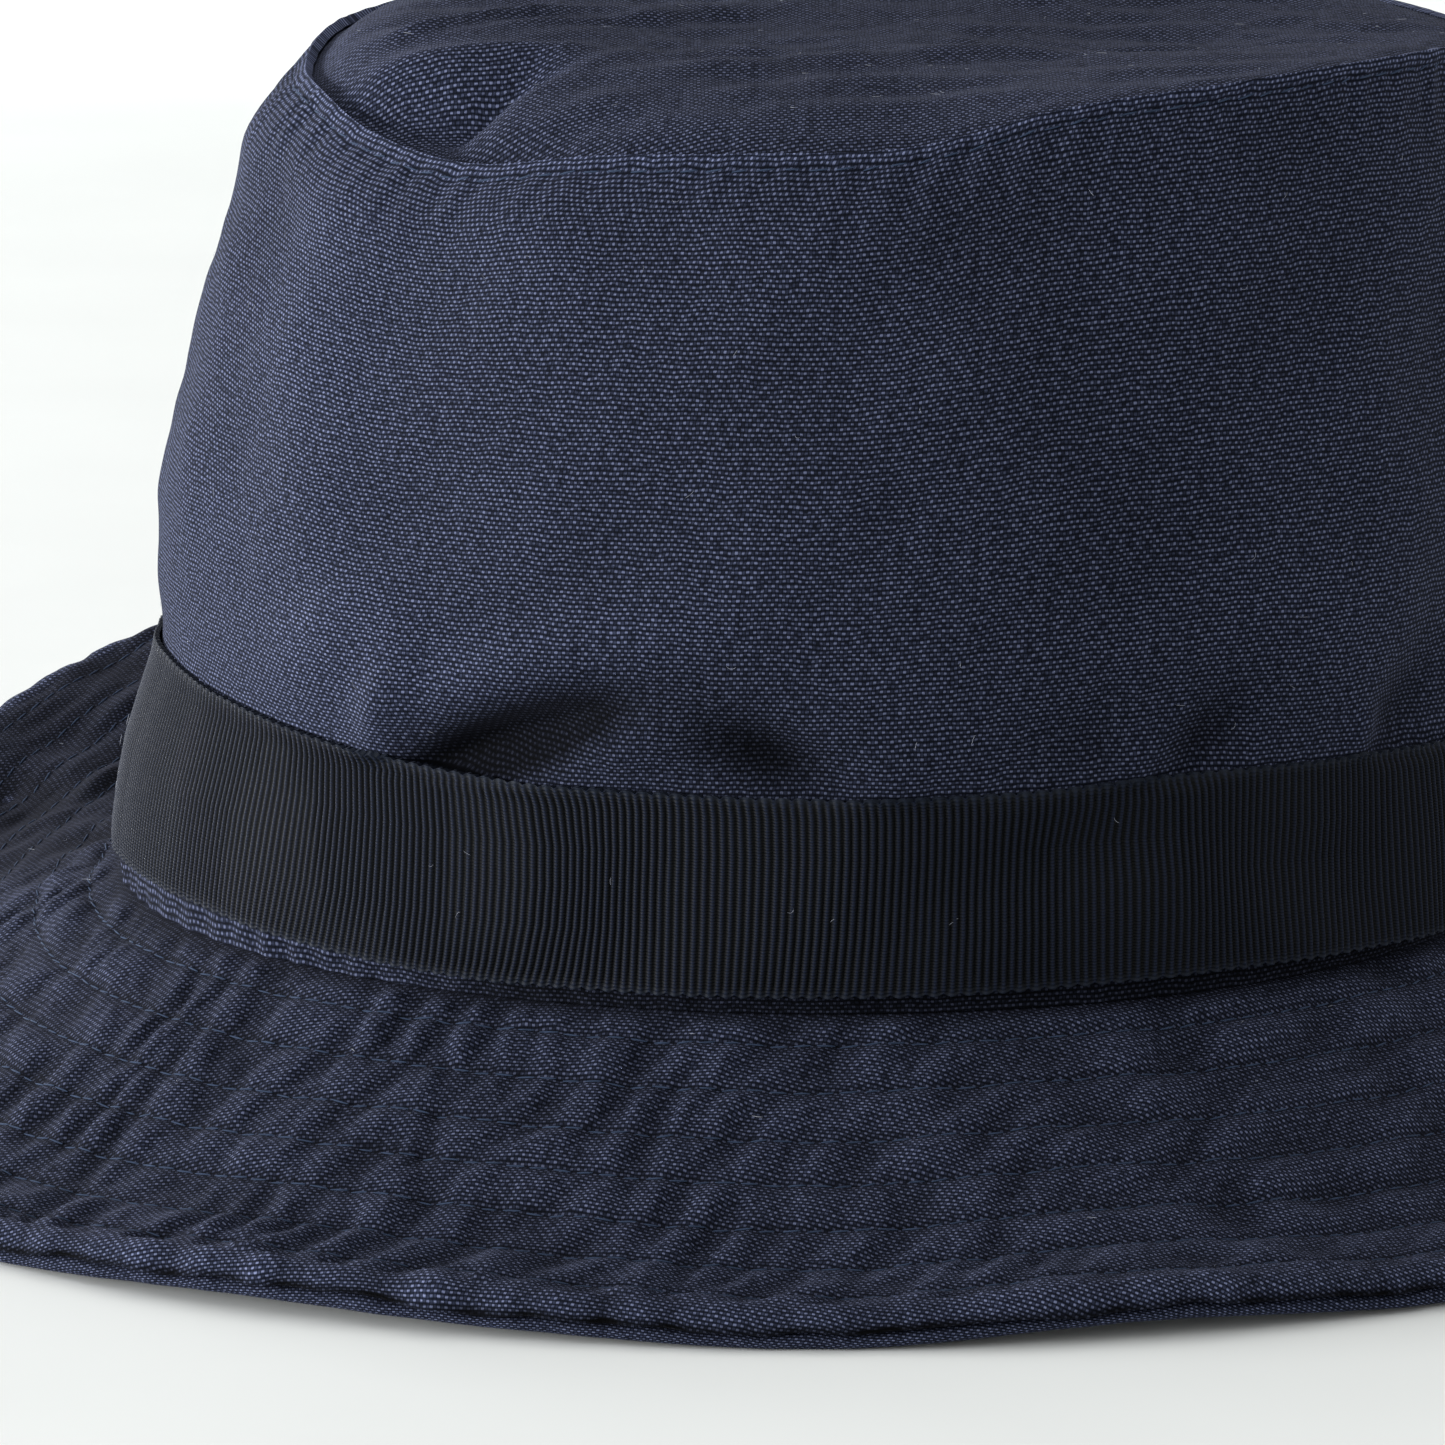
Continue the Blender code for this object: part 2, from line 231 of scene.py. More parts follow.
def side_ring(angle, station):
    """A point of the crown's plain outer form, before its dents."""
    width = HEAD_WIDTH + (TIP_WIDTH - HEAD_WIDTH) * section("narrow", station)
    depth = HEAD_DEPTH + (TIP_DEPTH - HEAD_DEPTH) * section("shallow", station)
    x = width / 2 * np.cos(np.radians(angle)) + TIP_LEAN * section("lean", station)
    y = depth / 2 * np.sin(np.radians(angle)) - FRONT_SAG * section("sag", station)
    foot = BAND_RAISE * around("raise", angle)
    head = foot + BAND_WIDTH * around("band", angle)
    top = CROWN_HEIGHT * around("top", angle) - GAP
    z = foot * np.clip(station, 0, 1) + (head - foot) * np.clip(station - 1, 0, 1)
    z = z + (top - head) * np.clip(station - 2, 0, 1) + SEAM_HEIGHT + GAP
    return np.stack(np.broadcast_arrays(x, y, z), -1)


def unit(vectors):
    """The same directions, each with a length of 1."""
    return vectors / np.linalg.norm(vectors, axis=-1, keepdims=True)


def side_out(angle, station):
    """The way out of the crown's side, square to its plain form."""
    along = side_ring(angle + 0.5, station) - side_ring(angle - 0.5, station)
    low, high = np.maximum(0, station - 0.03), np.minimum(3, station + 0.03)
    return unit(np.cross(along, side_ring(angle, high) - side_ring(angle, low)))


quarter = side_ring(np.array([0.0, -90.0, 180.0]), np.array([2.0, 2.0, 2.0]))
print("band's upper edge, left, front and right, mm:", np.round(quarter / MM, 1).tolist())

# %% [markdown]
# ## The folds of the crown's side
# Where the ribbon squeezes the soft crown, the canvas above it buckles: one deep fold runs
# up to the right from the ribbon, smaller dents follow it round, and the cloth between
# them bulges. A cloth simulation would put folds in other places, so each fold is written
# as a row with its place, its half spreads, its slant and its depth, and pushes the plain
# form in or out along a soft bell. A second list of the same rows tells where shade is
# painted into the canvas's colour in the deepest folds, and BAND_DENTS where the ribbon is
# pressed in with the cloth behind it. Close to the tip seam the cloth is gathered a little.

# %% Side folds
Dent = namedtuple("Dent", "angle station wide tall slant depth")
SIDE_DENTS = [
    Dent(-117, 2.080, 9.0, 0.050, 0.0078, 5.4),
    Dent(-125, 2.015, 5.0, 0.030, 0.0100, 2.4),
    Dent(-120, 2.185, 10.0, 0.055, 0.0080, -1.6),
    Dent(-130, 2.110, 3.2, 0.085, 0.0200, -2.2),
    Dent(-108, 2.070, 4.5, 0.045, 0.0040, -1.0),
    Dent(-96, 2.075, 5.5, 0.060, -0.0080, 2.3),
    Dent(-87, 2.030, 4.0, 0.050, 0.0000, -0.8),
    Dent(-71, 2.100, 5.0, 0.060, 0.0060, 0.9),
    Dent(-66, 2.030, 3.0, 0.040, 0.0000, -0.8),
    Dent(-60, 2.050, 4.2, 0.060, 0.0100, 2.0),
    Dent(-43, 2.040, 1.8, 0.040, 0.0040, -1.2),
    Dent(-37, 2.060, 5.0, 0.080, 0.0060, 2.4),
    Dent(-134, 2.220, 10.0, 0.110, 0.0100, -2.0),
    Dent(-105, 2.240, 9.0, 0.100, 0.0060, -1.8),
    Dent(-48, 2.200, 10.0, 0.120, 0.0000, -1.4),
    Dent(25, 2.200, 12.0, 0.140, -0.0040, 2.0),
    Dent(70, 2.120, 10.0, 0.080, 0.0060, 2.8),
    Dent(115, 2.300, 14.0, 0.160, 0.0000, 1.8),
    Dent(150, 2.140, 8.0, 0.080, -0.0060, 2.2),
]
# Where and how much shade is painted into the canvas's colour in the deepest folds.
PAINTED_FOLD_SHADE = [
    Dent(-119, 2.050, 10.5, 0.062, 0.0080, 2.3),
    Dent(-111, 2.100, 14.0, 0.110, 0.0050, 0.5),
    Dent(-97, 2.065, 5.5, 0.055, -0.0040, 1.3),
    Dent(-60, 2.050, 3.5, 0.050, 0.0080, 0.8),
    Dent(-70, 2.060, 3.0, 0.035, 0.0000, 0.5),
    Dent(-39, 2.050, 3.5, 0.060, 0.0000, 0.7),
]
BAND_DENTS = [
    Dent(-72, 1.640, 9.0, 0.130, 0.0060, 2.0),
    Dent(-50, 1.450, 8.0, 0.200, -0.0100, 1.0),
    Dent(-101, 1.400, 7.0, 0.300, 0.0000, 0.5),
    Dent(60, 1.500, 9.0, 0.200, 0.0060, 0.8),
]
STITCH_DROP, GATHER = 1.9 * MM, 14 * MM
HEAD_ROUND = (HEAD_WIDTH + HEAD_DEPTH) / 4


def dented(dents, angle, station):
    """Sum of the soft bells of a list of dents."""
    total = np.zeros(np.broadcast(angle, station).shape)
    for dent in dents:
        off = turned(angle - dent.angle)
        up = station - dent.station - dent.slant * off
        total += dent.depth * bell(off, dent.wide) * bell(up, dent.tall)
    return total


def side_relief(angle, station):
    """How far the canvas stands out of the plain form."""
    relief = -dented(SIDE_DENTS, angle, station) * MM * eased(1.82, 2.01, station)
    relief -= dented(BAND_DENTS, angle, station) * MM
    run = HEAD_ROUND * np.radians(angle)
    height = rise(station)
    below = CROWN_HEIGHT - height
    free = eased(2.0, 2.3, station) * eased(0, 12 * MM, below)
    relief += free * 0.35 * MM * ripple(run, height, 30 * MM, 11)
    relief += free * 0.60 * MM * ripple(run, height * 0.6, 42 * MM, 15, 8, 25)
    relief += free * 0.10 * MM * ripple(run, height, 9 * MM, 12)
    gather = eased(GATHER, 2 * MM, below) * eased(-1 * MM, 2.5 * MM, below)
    gather = gather * ripple(run, height * 0.3, 6 * MM, 13, 0, 12)
    relief += 0.22 * MM * gather
    relief += 0.30 * MM * eased(STITCH_DROP + 0.5 * MM, STITCH_DROP - 0.7 * MM, below)
    relief -= 0.25 * MM * bell(below - STITCH_DROP, 0.5 * MM)
    foot = eased(1.0, 0.55, station)
    lump = facing(angle, -140, 45)
    relief += foot * lump * 0.42 * MM * ripple(run, height, 6.5 * MM, 14, 0, 25)
    return relief


def side_point(angle, station, outward=0.0):
    """A point on the folded canvas, or this far outside it."""
    out = side_out(angle, station)
    lift = side_relief(angle, station) + outward
    return side_ring(angle, station) + out * lift[..., None]


# %% [markdown]
# Each side panel is laid with closer rows where the cloth does more: over the strip below
# the ribbon, above the ribbon and at the tip seam. Solidify then gives it the canvas's
# thickness inwards, and Bevel rounds the folded edges, as the two panels keep a hair's
# width between them at the side seams.

# %% Side panels
SIDE_SEAM, SIDE_COLUMNS = -20.0, 290
# The darkest the colour may be painted, and how deep a hollow is for its full painted shade.
DARKEST, FOLD_SHADE_DEPTH = -2.0, 4.0 * MM
SIDE_ROWS = np.concatenate([
    np.linspace(0, 1, 6)[:-1], np.linspace(1, 1.95, 7)[:-1], np.linspace(1.95, 2.35, 38)[:-1],
    np.linspace(2.35, 2.93, 40)[:-1], np.linspace(2.93, 3, 15),
])


def side_panel(name, start):
    """Half of the crown's side, from one side seam to the other."""
    shy = np.degrees(GAP / 2 / HEAD_ROUND)

    def place(column, row):
        angle = start + column * 180 / SIDE_COLUMNS
        angle = angle + shy * ((column == 0) * 1.0 - (column == SIDE_COLUMNS))
        station = SIDE_ROWS[row]
        points = side_point(angle, station)
        threads = np.stack([HEAD_ROUND * np.radians(angle), rise(station) - CROWN_HEIGHT], -1)
        below = CROWN_HEIGHT - rise(station)
        wear_and_shading = 1.3 * eased(1.5 * MM, 0.5 * MM, below) + 0.15 * bell(below - 3 * MM, 2 * MM)
        # Painted shade and light with the folds: the colour is darker in their hollows and lighter
        # on their bulges.
        wear_and_shading = wear_and_shading + np.clip(side_relief(angle, station) / FOLD_SHADE_DEPTH, -0.8, 0.4)
        # Painted shade in the deepest folds, and painted light on the crown's left side, which
        # faces the window light.
        wear_and_shading = wear_and_shading - dented(PAINTED_FOLD_SHADE, angle, station) + 0.65 * facing(angle, -152, 24)
        # Painted shadow of the ribbon on the strip of canvas below it, deeper everywhere but at
        # the left.
        shaded = eased(1.0, 0.85, station) * (0.6 + 1.0 * eased(-128, -112, turned(angle)))
        wear_and_shading = np.maximum(wear_and_shading - shaded, DARKEST)
        return points, threads, wear_and_shading

    piece = close_cloth(lay_cloth(name, SIDE_COLUMNS, len(SIDE_ROWS) - 1, place))
    harden(piece, "SOLIDIFY", thickness=CANVAS, offset=-1, use_even_offset=False)
    harden(piece, "BEVEL", width=0.6 * MM, segments=3, limit_method="ANGLE",
           angle_limit=np.radians(60))
    print(name, "has", len(piece.data.polygons), "faces")
    return piece


panels = {
    "crown_side_front": side_panel("side_panel_front", SIDE_SEAM - 180),
    "crown_side_back": side_panel("side_panel_back", SIDE_SEAM),
}

# %% [markdown]
# ## The tip
# The tip is an oval of canvas sewn inside the top of the sides, with its edge turned
# down. It stands up from its seam like a slack drum, higher than the sides at the left,
# and it has sunk at the front corner on the left, in a bowl with a steep back. Rings of
# faces from the seam to the middle follow the oval, and soft ridges lie along short lines.

# %% Crown tip
TIP_PLATEAU, TIP_TURNING = 148.3 * MM, 0.09
TIP_RISES = [5.0, 9.0, 16.0, 16.0, 16.0, 14.0, 12.0, 10.0, 10.0, 9.0, 7.0, 5.0]
# The pair places the painted light in the tip's bowl: 50 mm left and 30 mm forward of the hat's
# axis.
BOWL_BACK, BOWL_FRONT, PAINTED_LIGHT_CORNER = -23.0, -37.0, (50, 30)
Hollow = namedtuple("Hollow", "x y spread depth")
TIP_HOLLOWS = [
    Hollow(-0.30, -0.10, 0.26, 1.2), Hollow(0.05, -0.50, 0.26, 1.0),
    Hollow(0.45, -0.15, 0.34, 2.4), Hollow(-0.05, 0.45, 0.30, -1.2),
]
Crease = namedtuple("Crease", "x0 y0 x1 y1 width height")
TIP_CREASES = [
    Crease(-46, -42, -32, -24, 3.5, 1.5), Crease(-66, -22, -30, -23, 2.6, 0.9),
    Crease(-60, -12, -34, 6, 2.2, 1.5), Crease(-50, -12, -14, 4, 2.6, 1.2),
    Crease(-36, 0, 10, 18, 7.0, 0.7), Crease(-28, -40, 20, -28, 4.0, 0.9),
    Crease(-5, -20, 50, -30, 4.0, 0.8), Crease(-10, -58, 20, -40, 7.0, 0.5),
    Crease(35, -45, 75, -20, 8.0, 0.7), Crease(20, 20, 78, 30, 7.0, 0.8),
]
tip_angles = np.arange(0.0, 360.0, 5.0)
TIP_MIDDLE = side_point(tip_angles, tip_angles * 0 + 3, -CANVAS - GAP).mean(axis=0)


def crease_height(x, y, crease):
    """Height of a soft ridge along a line, in mm, that fades at its ends."""
    run = np.array([crease.x1 - crease.x0, crease.y1 - crease.y0])
    length = np.hypot(*run)
    along = ((x - crease.x0) * run[0] + (y - crease.y0) * run[1]) / length
    across = ((x - crease.x0) * run[1] - (y - crease.y0) * run[0]) / length
    ends = eased(-0.2, 0.35, along / length) * eased(1.2, 0.65, along / length)
    return crease.height * bell(across, crease.width) * ends


def tip_point(angle, share):
    """A point of the tip, share 1 at its seam and 0 in its middle."""
    edge = side_point(angle, angle * 0 + 3.0, -CANVAS - GAP)
    point = TIP_MIDDLE + (edge - TIP_MIDDLE) * share[..., None]
    x, y = (point[..., :2] / MM).T
    inside = (1 - share) * TIP_WIDTH / 2 / MM
    wide = np.interp((angle + 180) % 360, np.arange(13) * 30, TIP_RISES + TIP_RISES[:1])
    height = edge[..., 2] + (TIP_PLATEAU - edge[..., 2]) * (1 - np.exp(-inside / wide))
    bowl = eased(BOWL_BACK, BOWL_FRONT, y + 0.8 * ripple(x, y, 20, 23))
    bowl = bowl * eased(7.0, -7.0, (x + 39) - 0.85 * (y + 34))
    height = height + (edge[..., 2] - height) * bowl
    across = (x - TIP_MIDDLE[0] / MM) / (TIP_WIDTH / 2 / MM)
    along = y / (TIP_DEPTH / 2 / MM)
    relief = -0.6 * eased(0, 1.5, inside) * eased(6, 1.5, inside)
    inner = 1 - share**8
    for hollow in TIP_HOLLOWS:
        far = np.hypot(across - hollow.x, along - hollow.y)
        relief = relief - hollow.depth * bell(far, hollow.spread) * inner
    for crease in TIP_CREASES:
        relief += crease_height(x, y, crease) * inner
    relief += 0.30 * inner * ripple(x, y, 13, 21, 80, 35) + 0.10 * inner * ripple(x, y, 6, 22)
    point[..., 2] = height + relief * MM
    return point


TIP_COLUMNS = 360
TIP_SHARES = np.concatenate([1 - np.linspace(0, 0.12, 10), np.linspace(0.865, 0, 44)])


def tip_place(column, row):
    """The tip's grid: one row turned down into the crown, then rings to the middle."""
    angle = column % TIP_COLUMNS * 1.0
    turned_down = row == 0
    share = TIP_SHARES[np.maximum(row - 1, 0)]
    points = tip_point(angle, share)
    edge = side_point(angle, angle * 0 + 3 - TIP_TURNING, -CANVAS - GAP)
    points[turned_down] = edge[turned_down]
    x, y = (points[:, :2] / MM).T
    # Lighter in a band inside the seam; painted light over the whole tip, which faces up, and
    # strongly in the sunken bowl at the front-left corner.
    corner = np.hypot(x + PAINTED_LIGHT_CORNER[0], y + PAINTED_LIGHT_CORNER[1])
    wear_and_shading = 0.25 * bell(share - 0.9, 0.05) + 0.15 + 1.25 * bell(corner, 11)
    return points, points[:, :2].copy(), wear_and_shading


tip = close_cloth(lay_cloth("tip_panel", TIP_COLUMNS, len(TIP_SHARES), tip_place))
harden(tip, "SOLIDIFY", thickness=CANVAS, offset=-1, use_even_offset=False)
print("tip panel has", len(tip.data.polygons), "faces")

# %% [markdown]
# ## The ribbon
# The band is a grosgrain ribbon: thick weft cords, about 1.1 mm apart, stand up across it
# as ribs, and the fine warp that wraps them makes little loops along both edges. From
# close by the ribs make the shading and the outline, so they are real relief: six
# columns of faces for each rib. The ribs lean and bow where the ribbon was pulled round.

# %% Ribbon band
RIB_PITCH, RIB_HEIGHT, RIB_COLUMNS = 1.115 * MM, 0.36 * MM, 6
PULLED_AT, LOOP_HEIGHT, LOOP_LENGTH = -125.0, 0.12 * MM, 0.38 * MM
BAND_ROWS = np.array([
    0.0, 0.015, 0.035, 0.06, 0.10, 0.30, 0.50, 0.70, 0.90, 0.94, 0.965, 0.985, 1.0,
])
band_turn = 360 + BAND_LAP
ribs = round(HEAD_ROUND * 1.012 * np.radians(band_turn) / RIB_PITCH)
band_columns = ribs * RIB_COLUMNS


def band_place(column, row):
    """The ribbon's grid: ribs across it, loops along its edges, its end over its start."""
    share = BAND_ROWS[row]
    laid = column / band_columns * band_turn
    angle = BAND_START + laid
    side = turned(angle)
    run = np.radians(side) * 90
    pulled = facing(side, PULLED_AT, 25)
    lean = 0.5 * ripple(run, 0, 35, 31) - 1.6 - 3.2 * pulled
    bow = 0.5 * ripple(run, 0, 26, 32) + 0.3 + 2.4 * pulled
    shift = (lean * (share - 0.5) + bow * (1 - (2 * share - 1) ** 2)) * MM
    moved = angle + np.degrees(shift / HEAD_ROUND)
    rib = np.abs(np.cos(np.pi * column / RIB_COLUMNS))
    cord = RIB_HEIGHT * rib ** 1.3
    pair = np.abs(np.sin(np.pi * column / RIB_COLUMNS / 2))
    looped = bell(share, 0.015) + bell(share - 1, 0.015)
    lap = eased(360 - 15, 360 - 5, laid)
    stand = 1.0 * MM * facing(side, -45, 40) * (1 - share)
    stand = stand + 0.25 * MM * ripple(run, share * 12, 24, 33)
    tight = (0.3 + 0.3 * facing(side, 175, 40)) * MM * share
    sit = GAP + RIBBON - tight + lap * (RIBBON + GAP) + np.maximum(0, stand)
    plain = side_ring(moved, 1 + share)
    out = side_out(moved, 1 + share)
    pressed = dented(BAND_DENTS, moved, 1 + share) * MM
    follow = np.maximum(side_relief(moved, 1 + share) + pressed, -0.5 * MM)
    follow = follow * eased(0.1, 0.6, share)
    lift = sit + cord * (1 - 0.6 * looped) + LOOP_HEIGHT * looped * pair + follow - pressed
    points = plain + out * lift[..., None]
    points[..., 2] += LOOP_LENGTH * pair * (bell(share - 1, 0.02) - bell(share, 0.02))
    threads = np.stack([column * RIB_PITCH / RIB_COLUMNS, share * BAND_WIDTH], -1)
    wear_and_shading = looped * (0.1 + 0.8 * pair)
    return points, threads, wear_and_shading


band = close_cloth(lay_cloth("ribbon_band", band_columns, len(BAND_ROWS) - 1, band_place))
harden(band, "SOLIDIFY", thickness=RIBBON * 0.8, offset=-1, use_even_offset=False)
bpy.ops.object.shade_smooth_by_angle(angle=np.radians(75))
print("ribbon has", ribs, "ribs and", len(band.data.polygons), "faces")

# %% [markdown]
# ## The brim
# The brim is two layers of canvas, stitched together in seven rows and closed by a soft
# rolled edge. Washing shrank the thread less than the cloth, so the cloth puckers between
# the rows. The puckers follow the bias of the weave: all of them run the same way over
# the table, so they cross the stitches squarely at the side and slantwise at the front.
# At the back, where the brim stands up, they are lower and longer. A bump map couldn't
# change the outline of the edge, so the puckers are relief, held down to a groove at
# every row of stitches.

# %% Brim form
BRIM_WIDTH, BRIM_MARGIN, FLAT_SHARE = 59.0 * MM, 4.2 * MM, 0.29
EDGE_HEIGHT, EDGE_SEAM = 5.4 * MM, 0.44
ROLL_START, UNDER_EDGE = 0.935, 0.955
BRIM_ASKEW = 15.0
PUCKER_STEP, PUCKER_WAY, PUCKER_HEIGHT, GROOVE = 8.2 * MM, 143, 0.56 * MM, 0.34 * MM
PRESSED_AT, PRESSED_DEPTH = -51 * MM, 0.55 * MM
STITCH_ROWS = [0.08, 0.21, 0.345, 0.465, 0.59, 0.715, 0.87]


def brim_fall(reach):
    """Share of the brim's fall left at a reach: a straight slope, then a flat rim."""
    knee = 1 - FLAT_SHARE
    left = 0.05 * np.log(1 + np.exp((knee - reach) / 0.05)) / knee
    return np.minimum(1.0, left)


def rim_foot(angle):
    """Height of the rim's underside above the table."""
    return np.maximum(0.0, RIM_LIFT * around("lift", angle))


def brim_top(angle, reach):
    """Plain height of the brim's upper face, reach 0 at the crown and 1 at the rim."""
    rim = rim_foot(angle) + EDGE_HEIGHT
    return rim + (SEAM_HEIGHT - rim) * brim_fall(reach)


def brim_flat(angle, reach):
    """Where a place of the brim lies, seen from above."""
    out = reach * BRIM_WIDTH
    x = (HEAD_WIDTH / 2 + out) * np.cos(np.radians(angle))
    y = (HEAD_DEPTH / 2 + out) * np.sin(np.radians(angle))
    return x, y


def row_distance(reach):
    """How far a place of the brim is from the nearest row of stitches."""
    return np.min([np.abs(reach - row) for row in STITCH_ROWS], axis=0) * BRIM_WIDTH


def behind(angle):
    """1 along the back of the brim, which stands up, and 0 round the rest."""
    return eased(178, 162, turned(angle)) * eased(20, 60, turned(angle))


def brim_pucker(angle, reach):
    """Relief of the brim's cloth: puckers between the stitch rows, grooves along them."""
    x, y = brim_flat(angle, reach)
    shift = ripple(x, y, 30 * MM, 41)
    x, y = x + 1.2 * MM * shift, y - 1.2 * MM * shift
    fold = ripple(x, y, PUCKER_STEP, 42, PUCKER_WAY, 20)
    fold = np.tanh(1.3 * fold) + 0.20 * ripple(x, y, 3.4 * MM, 43, PUCKER_WAY, 30)
    near = row_distance(reach)
    held = 0.50 + 0.50 * eased(0, 3.0 * MM, near)
    back = behind(angle)
    strong = 0.78 + 0.22 * facing(angle, -135, 40) + 0.12 * ripple(x, y, 40 * MM, 44)
    strong = strong * (1 - 0.6 * back)
    cover = eased(0.0, 0.05, reach) * eased(1.0, 0.93, reach)
    relief = PUCKER_HEIGHT * fold * held * strong
    relief += (0.34 + 0.4 * back) * MM * (held + 0.3 * back) * ripple(x, y, 17 * MM, 45)
    relief -= GROOVE * bell(near, 0.6 * MM) * (1 - 0.8 * back)
    relief += 0.20 * MM * eased(0, 2.5 * MM, near)
    pressed = bell(x - PRESSED_AT, 1.6 * MM) * eased(0.06, 0.2, reach) * eased(0.75, 0.5, reach)
    relief -= PRESSED_DEPTH * pressed * (y < 0)
    return relief * cover


def brim_upper_point(angle, reach):
    """A point on the puckered upper face, lifted along the slope's own normal."""
    step = 0.01
    fall = brim_top(angle, reach + step) - brim_top(angle, reach - step)
    tilt = fall / (2 * step * BRIM_WIDTH)
    size = np.sqrt(1 + tilt**2)
    up = brim_pucker(angle, reach)
    x, y = brim_flat(angle, reach - up * tilt / size / BRIM_WIDTH)
    z = brim_top(angle, reach) + up / size
    return np.stack([x, y, z], -1)


def slope_run(reach):
    """Length of cloth from the crown to a reach, at the front."""
    steps = np.linspace(0, 1, 101)
    falls = brim_top(-90.0, steps)
    lengths = np.hypot(np.diff(steps) * BRIM_WIDTH, np.diff(falls))
    return np.interp(reach, steps, np.concatenate([[0], np.cumsum(lengths)]))


def brim_threads(angle, run):
    """The weave map of a place of the brim: the cloth unrolled and cut askew."""
    mean = HEAD_ROUND + run
    askew = np.radians(angle + BRIM_ASKEW)
    return np.stack([mean * np.cos(askew), mean * np.sin(askew)], -1)


print("cloth from crown to rim, mm:", round(float(slope_run(1.0)) / MM, 1))

# %% [markdown]
# Each layer is one closed tube of cloth: over its top, round its edge and back along its
# underside. At the edge the layers meet in a seam that wanders up and down, and the upper
# layer rolls over it like a thin pipe.

# %% Brim layers
BRIM_COLUMNS, CLOSEST_ROWS, ROLL_CLOTH = 900, 0.35 * MM, 3.2 * MM
MARGIN = -BRIM_MARGIN / BRIM_WIDTH
stitch_steps = [-4.2, -3.2, -2.3, -1.5, -0.9, -0.45, 0.0, 0.45, 0.9, 1.5, 2.3, 3.2]
stitch_steps = np.array(stitch_steps) * MM
rows_near = np.concatenate([row + stitch_steps / BRIM_WIDTH for row in STITCH_ROWS])
even = np.linspace(0, ROLL_START, 40)
TOP_REACHES = np.unique(np.round(np.concatenate([rows_near, even]), 4))
TOP_REACHES = TOP_REACHES[(TOP_REACHES > 0.0) & (TOP_REACHES < ROLL_START)]
keep = np.concatenate([[True], np.diff(TOP_REACHES) > CLOSEST_ROWS / BRIM_WIDTH])
TOP_REACHES = np.concatenate([[MARGIN, 0.0], TOP_REACHES[keep]])
BACK_REACHES = np.concatenate([np.linspace(0.95, 0, 18), [MARGIN]])
ROLL_TURNS = np.radians(np.linspace(80, -12, 11))


def seam_height(angle):
    """Height of the seam round the edge, which wanders with the puckers."""
    x, y = brim_flat(angle, 1.0)
    return rim_foot(angle) + EDGE_SEAM * EDGE_HEIGHT + 0.24 * MM * ripple(x, y, 13 * MM, 51)


def layer_gap(angle, reach):
    """Height of the line between the layers."""
    plain = brim_top(angle, reach) - CANVAS - GAP / 2
    share = eased(0.79, 0.95, reach)
    return plain + (seam_height(angle) - plain) * share


def edge_swell(angle):
    """The rolled edge's own puckers, in and out."""
    x, y = brim_flat(angle, 1.0)
    return 0.34 * MM * ripple(x, y, 8 * MM, 52) + 0.14 * MM * ripple(x, y, 4 * MM, 53)


def split_rows(row, tops, turns, backs):
    """Each row's reach, turn and reach back, and whether it is in the roll or behind it."""
    first, second = len(tops), len(tops) + len(turns)
    row = row % (second + len(backs))
    reach = tops[np.minimum(row, first - 1)]
    turn = turns[np.clip(row - first, 0, len(turns) - 1)]
    back = backs[np.clip(row - second, 0, len(backs) - 1)]
    return reach, turn, back, (row >= first) & (row < second), row >= second


def lay_part(chosen, points, place, threads, weave, wear_and_shading, shading_and_wear):
    """Write one part of a layer into the rows of the grid that are chosen for it."""
    points[chosen] = np.stack(place, -1)[chosen]
    threads[chosen] = weave[chosen]
    wear_and_shading[chosen] = shading_and_wear[chosen]


def upper_place(column, row):
    """The upper layer's grid: its face, the rolled edge, and back along its underside."""
    angle = column % BRIM_COLUMNS * 360 / BRIM_COLUMNS
    parts = split_rows(row, TOP_REACHES, ROLL_TURNS, BACK_REACHES)
    reach, turn, back, rolled, under = parts
    points = brim_upper_point(angle, reach)
    threads = brim_threads(angle, slope_run(np.maximum(reach, 0)))
    # Darker in the puckers' hollows as painted shade, lighter on their crests, which are rubbed
    # and also carry painted light.
    wear_and_shading = 0.6 * np.clip(brim_pucker(angle, reach) / (0.5 * MM), -1, 1)
    # Painted shade in the grooves along the stitch rows.
    wear_and_shading = wear_and_shading - 0.5 * bell(row_distance(reach), 0.8 * MM)
    wear_and_shading = wear_and_shading * (1 - 0.75 * behind(angle))
    # Lighter towards the rolled edge, where the cloth is rubbed; painted shade over the raised
    # back of the brim, and a little darker all over.
    wear_and_shading = wear_and_shading + 0.5 * eased(0.88, 0.95, reach) - 1.45 * behind(angle) - 0.12
    # Painted shade in the groove at the foot of the crown and over the brim's front-left.
    wear_and_shading = wear_and_shading - 0.9 * eased(0.07, 0.0, reach) - 0.45 * facing(angle, -148, 30)

    seam = seam_height(angle) + GAP / 2
    high = brim_top(angle, ROLL_START) + 0.25 * MM
    middle = seam + 0.5 * MM
    swell = edge_swell(angle)
    wide = (1 - ROLL_START) * BRIM_WIDTH + swell
    out = ROLL_START * BRIM_WIDTH + wide * np.cos(turn)
    x, y = brim_flat(angle, out / BRIM_WIDTH)
    z = middle + (high - middle + 0.5 * swell) * np.sin(turn)
    weave = brim_threads(angle, slope_run(ROLL_START) + (np.pi / 2 - turn) * ROLL_CLOTH)
    # The roll is rubbed lighter on its swells, with painted shade where it turns under into the
    # seam.
    shading_and_wear = 0.8 + 1.8 * swell / MM - 2.4 * eased(0.35, -0.1, turn)
    lay_part(rolled, points, (x, y, z), threads, weave, wear_and_shading, shading_and_wear)

    x, y = brim_flat(angle, back)
    z = layer_gap(angle, back) + GAP / 2
    weave = brim_threads(angle, slope_run(np.maximum(back, 0)))
    lay_part(under, points, (x, y, z), threads, weave, wear_and_shading, back * 0)
    return points, threads, wear_and_shading


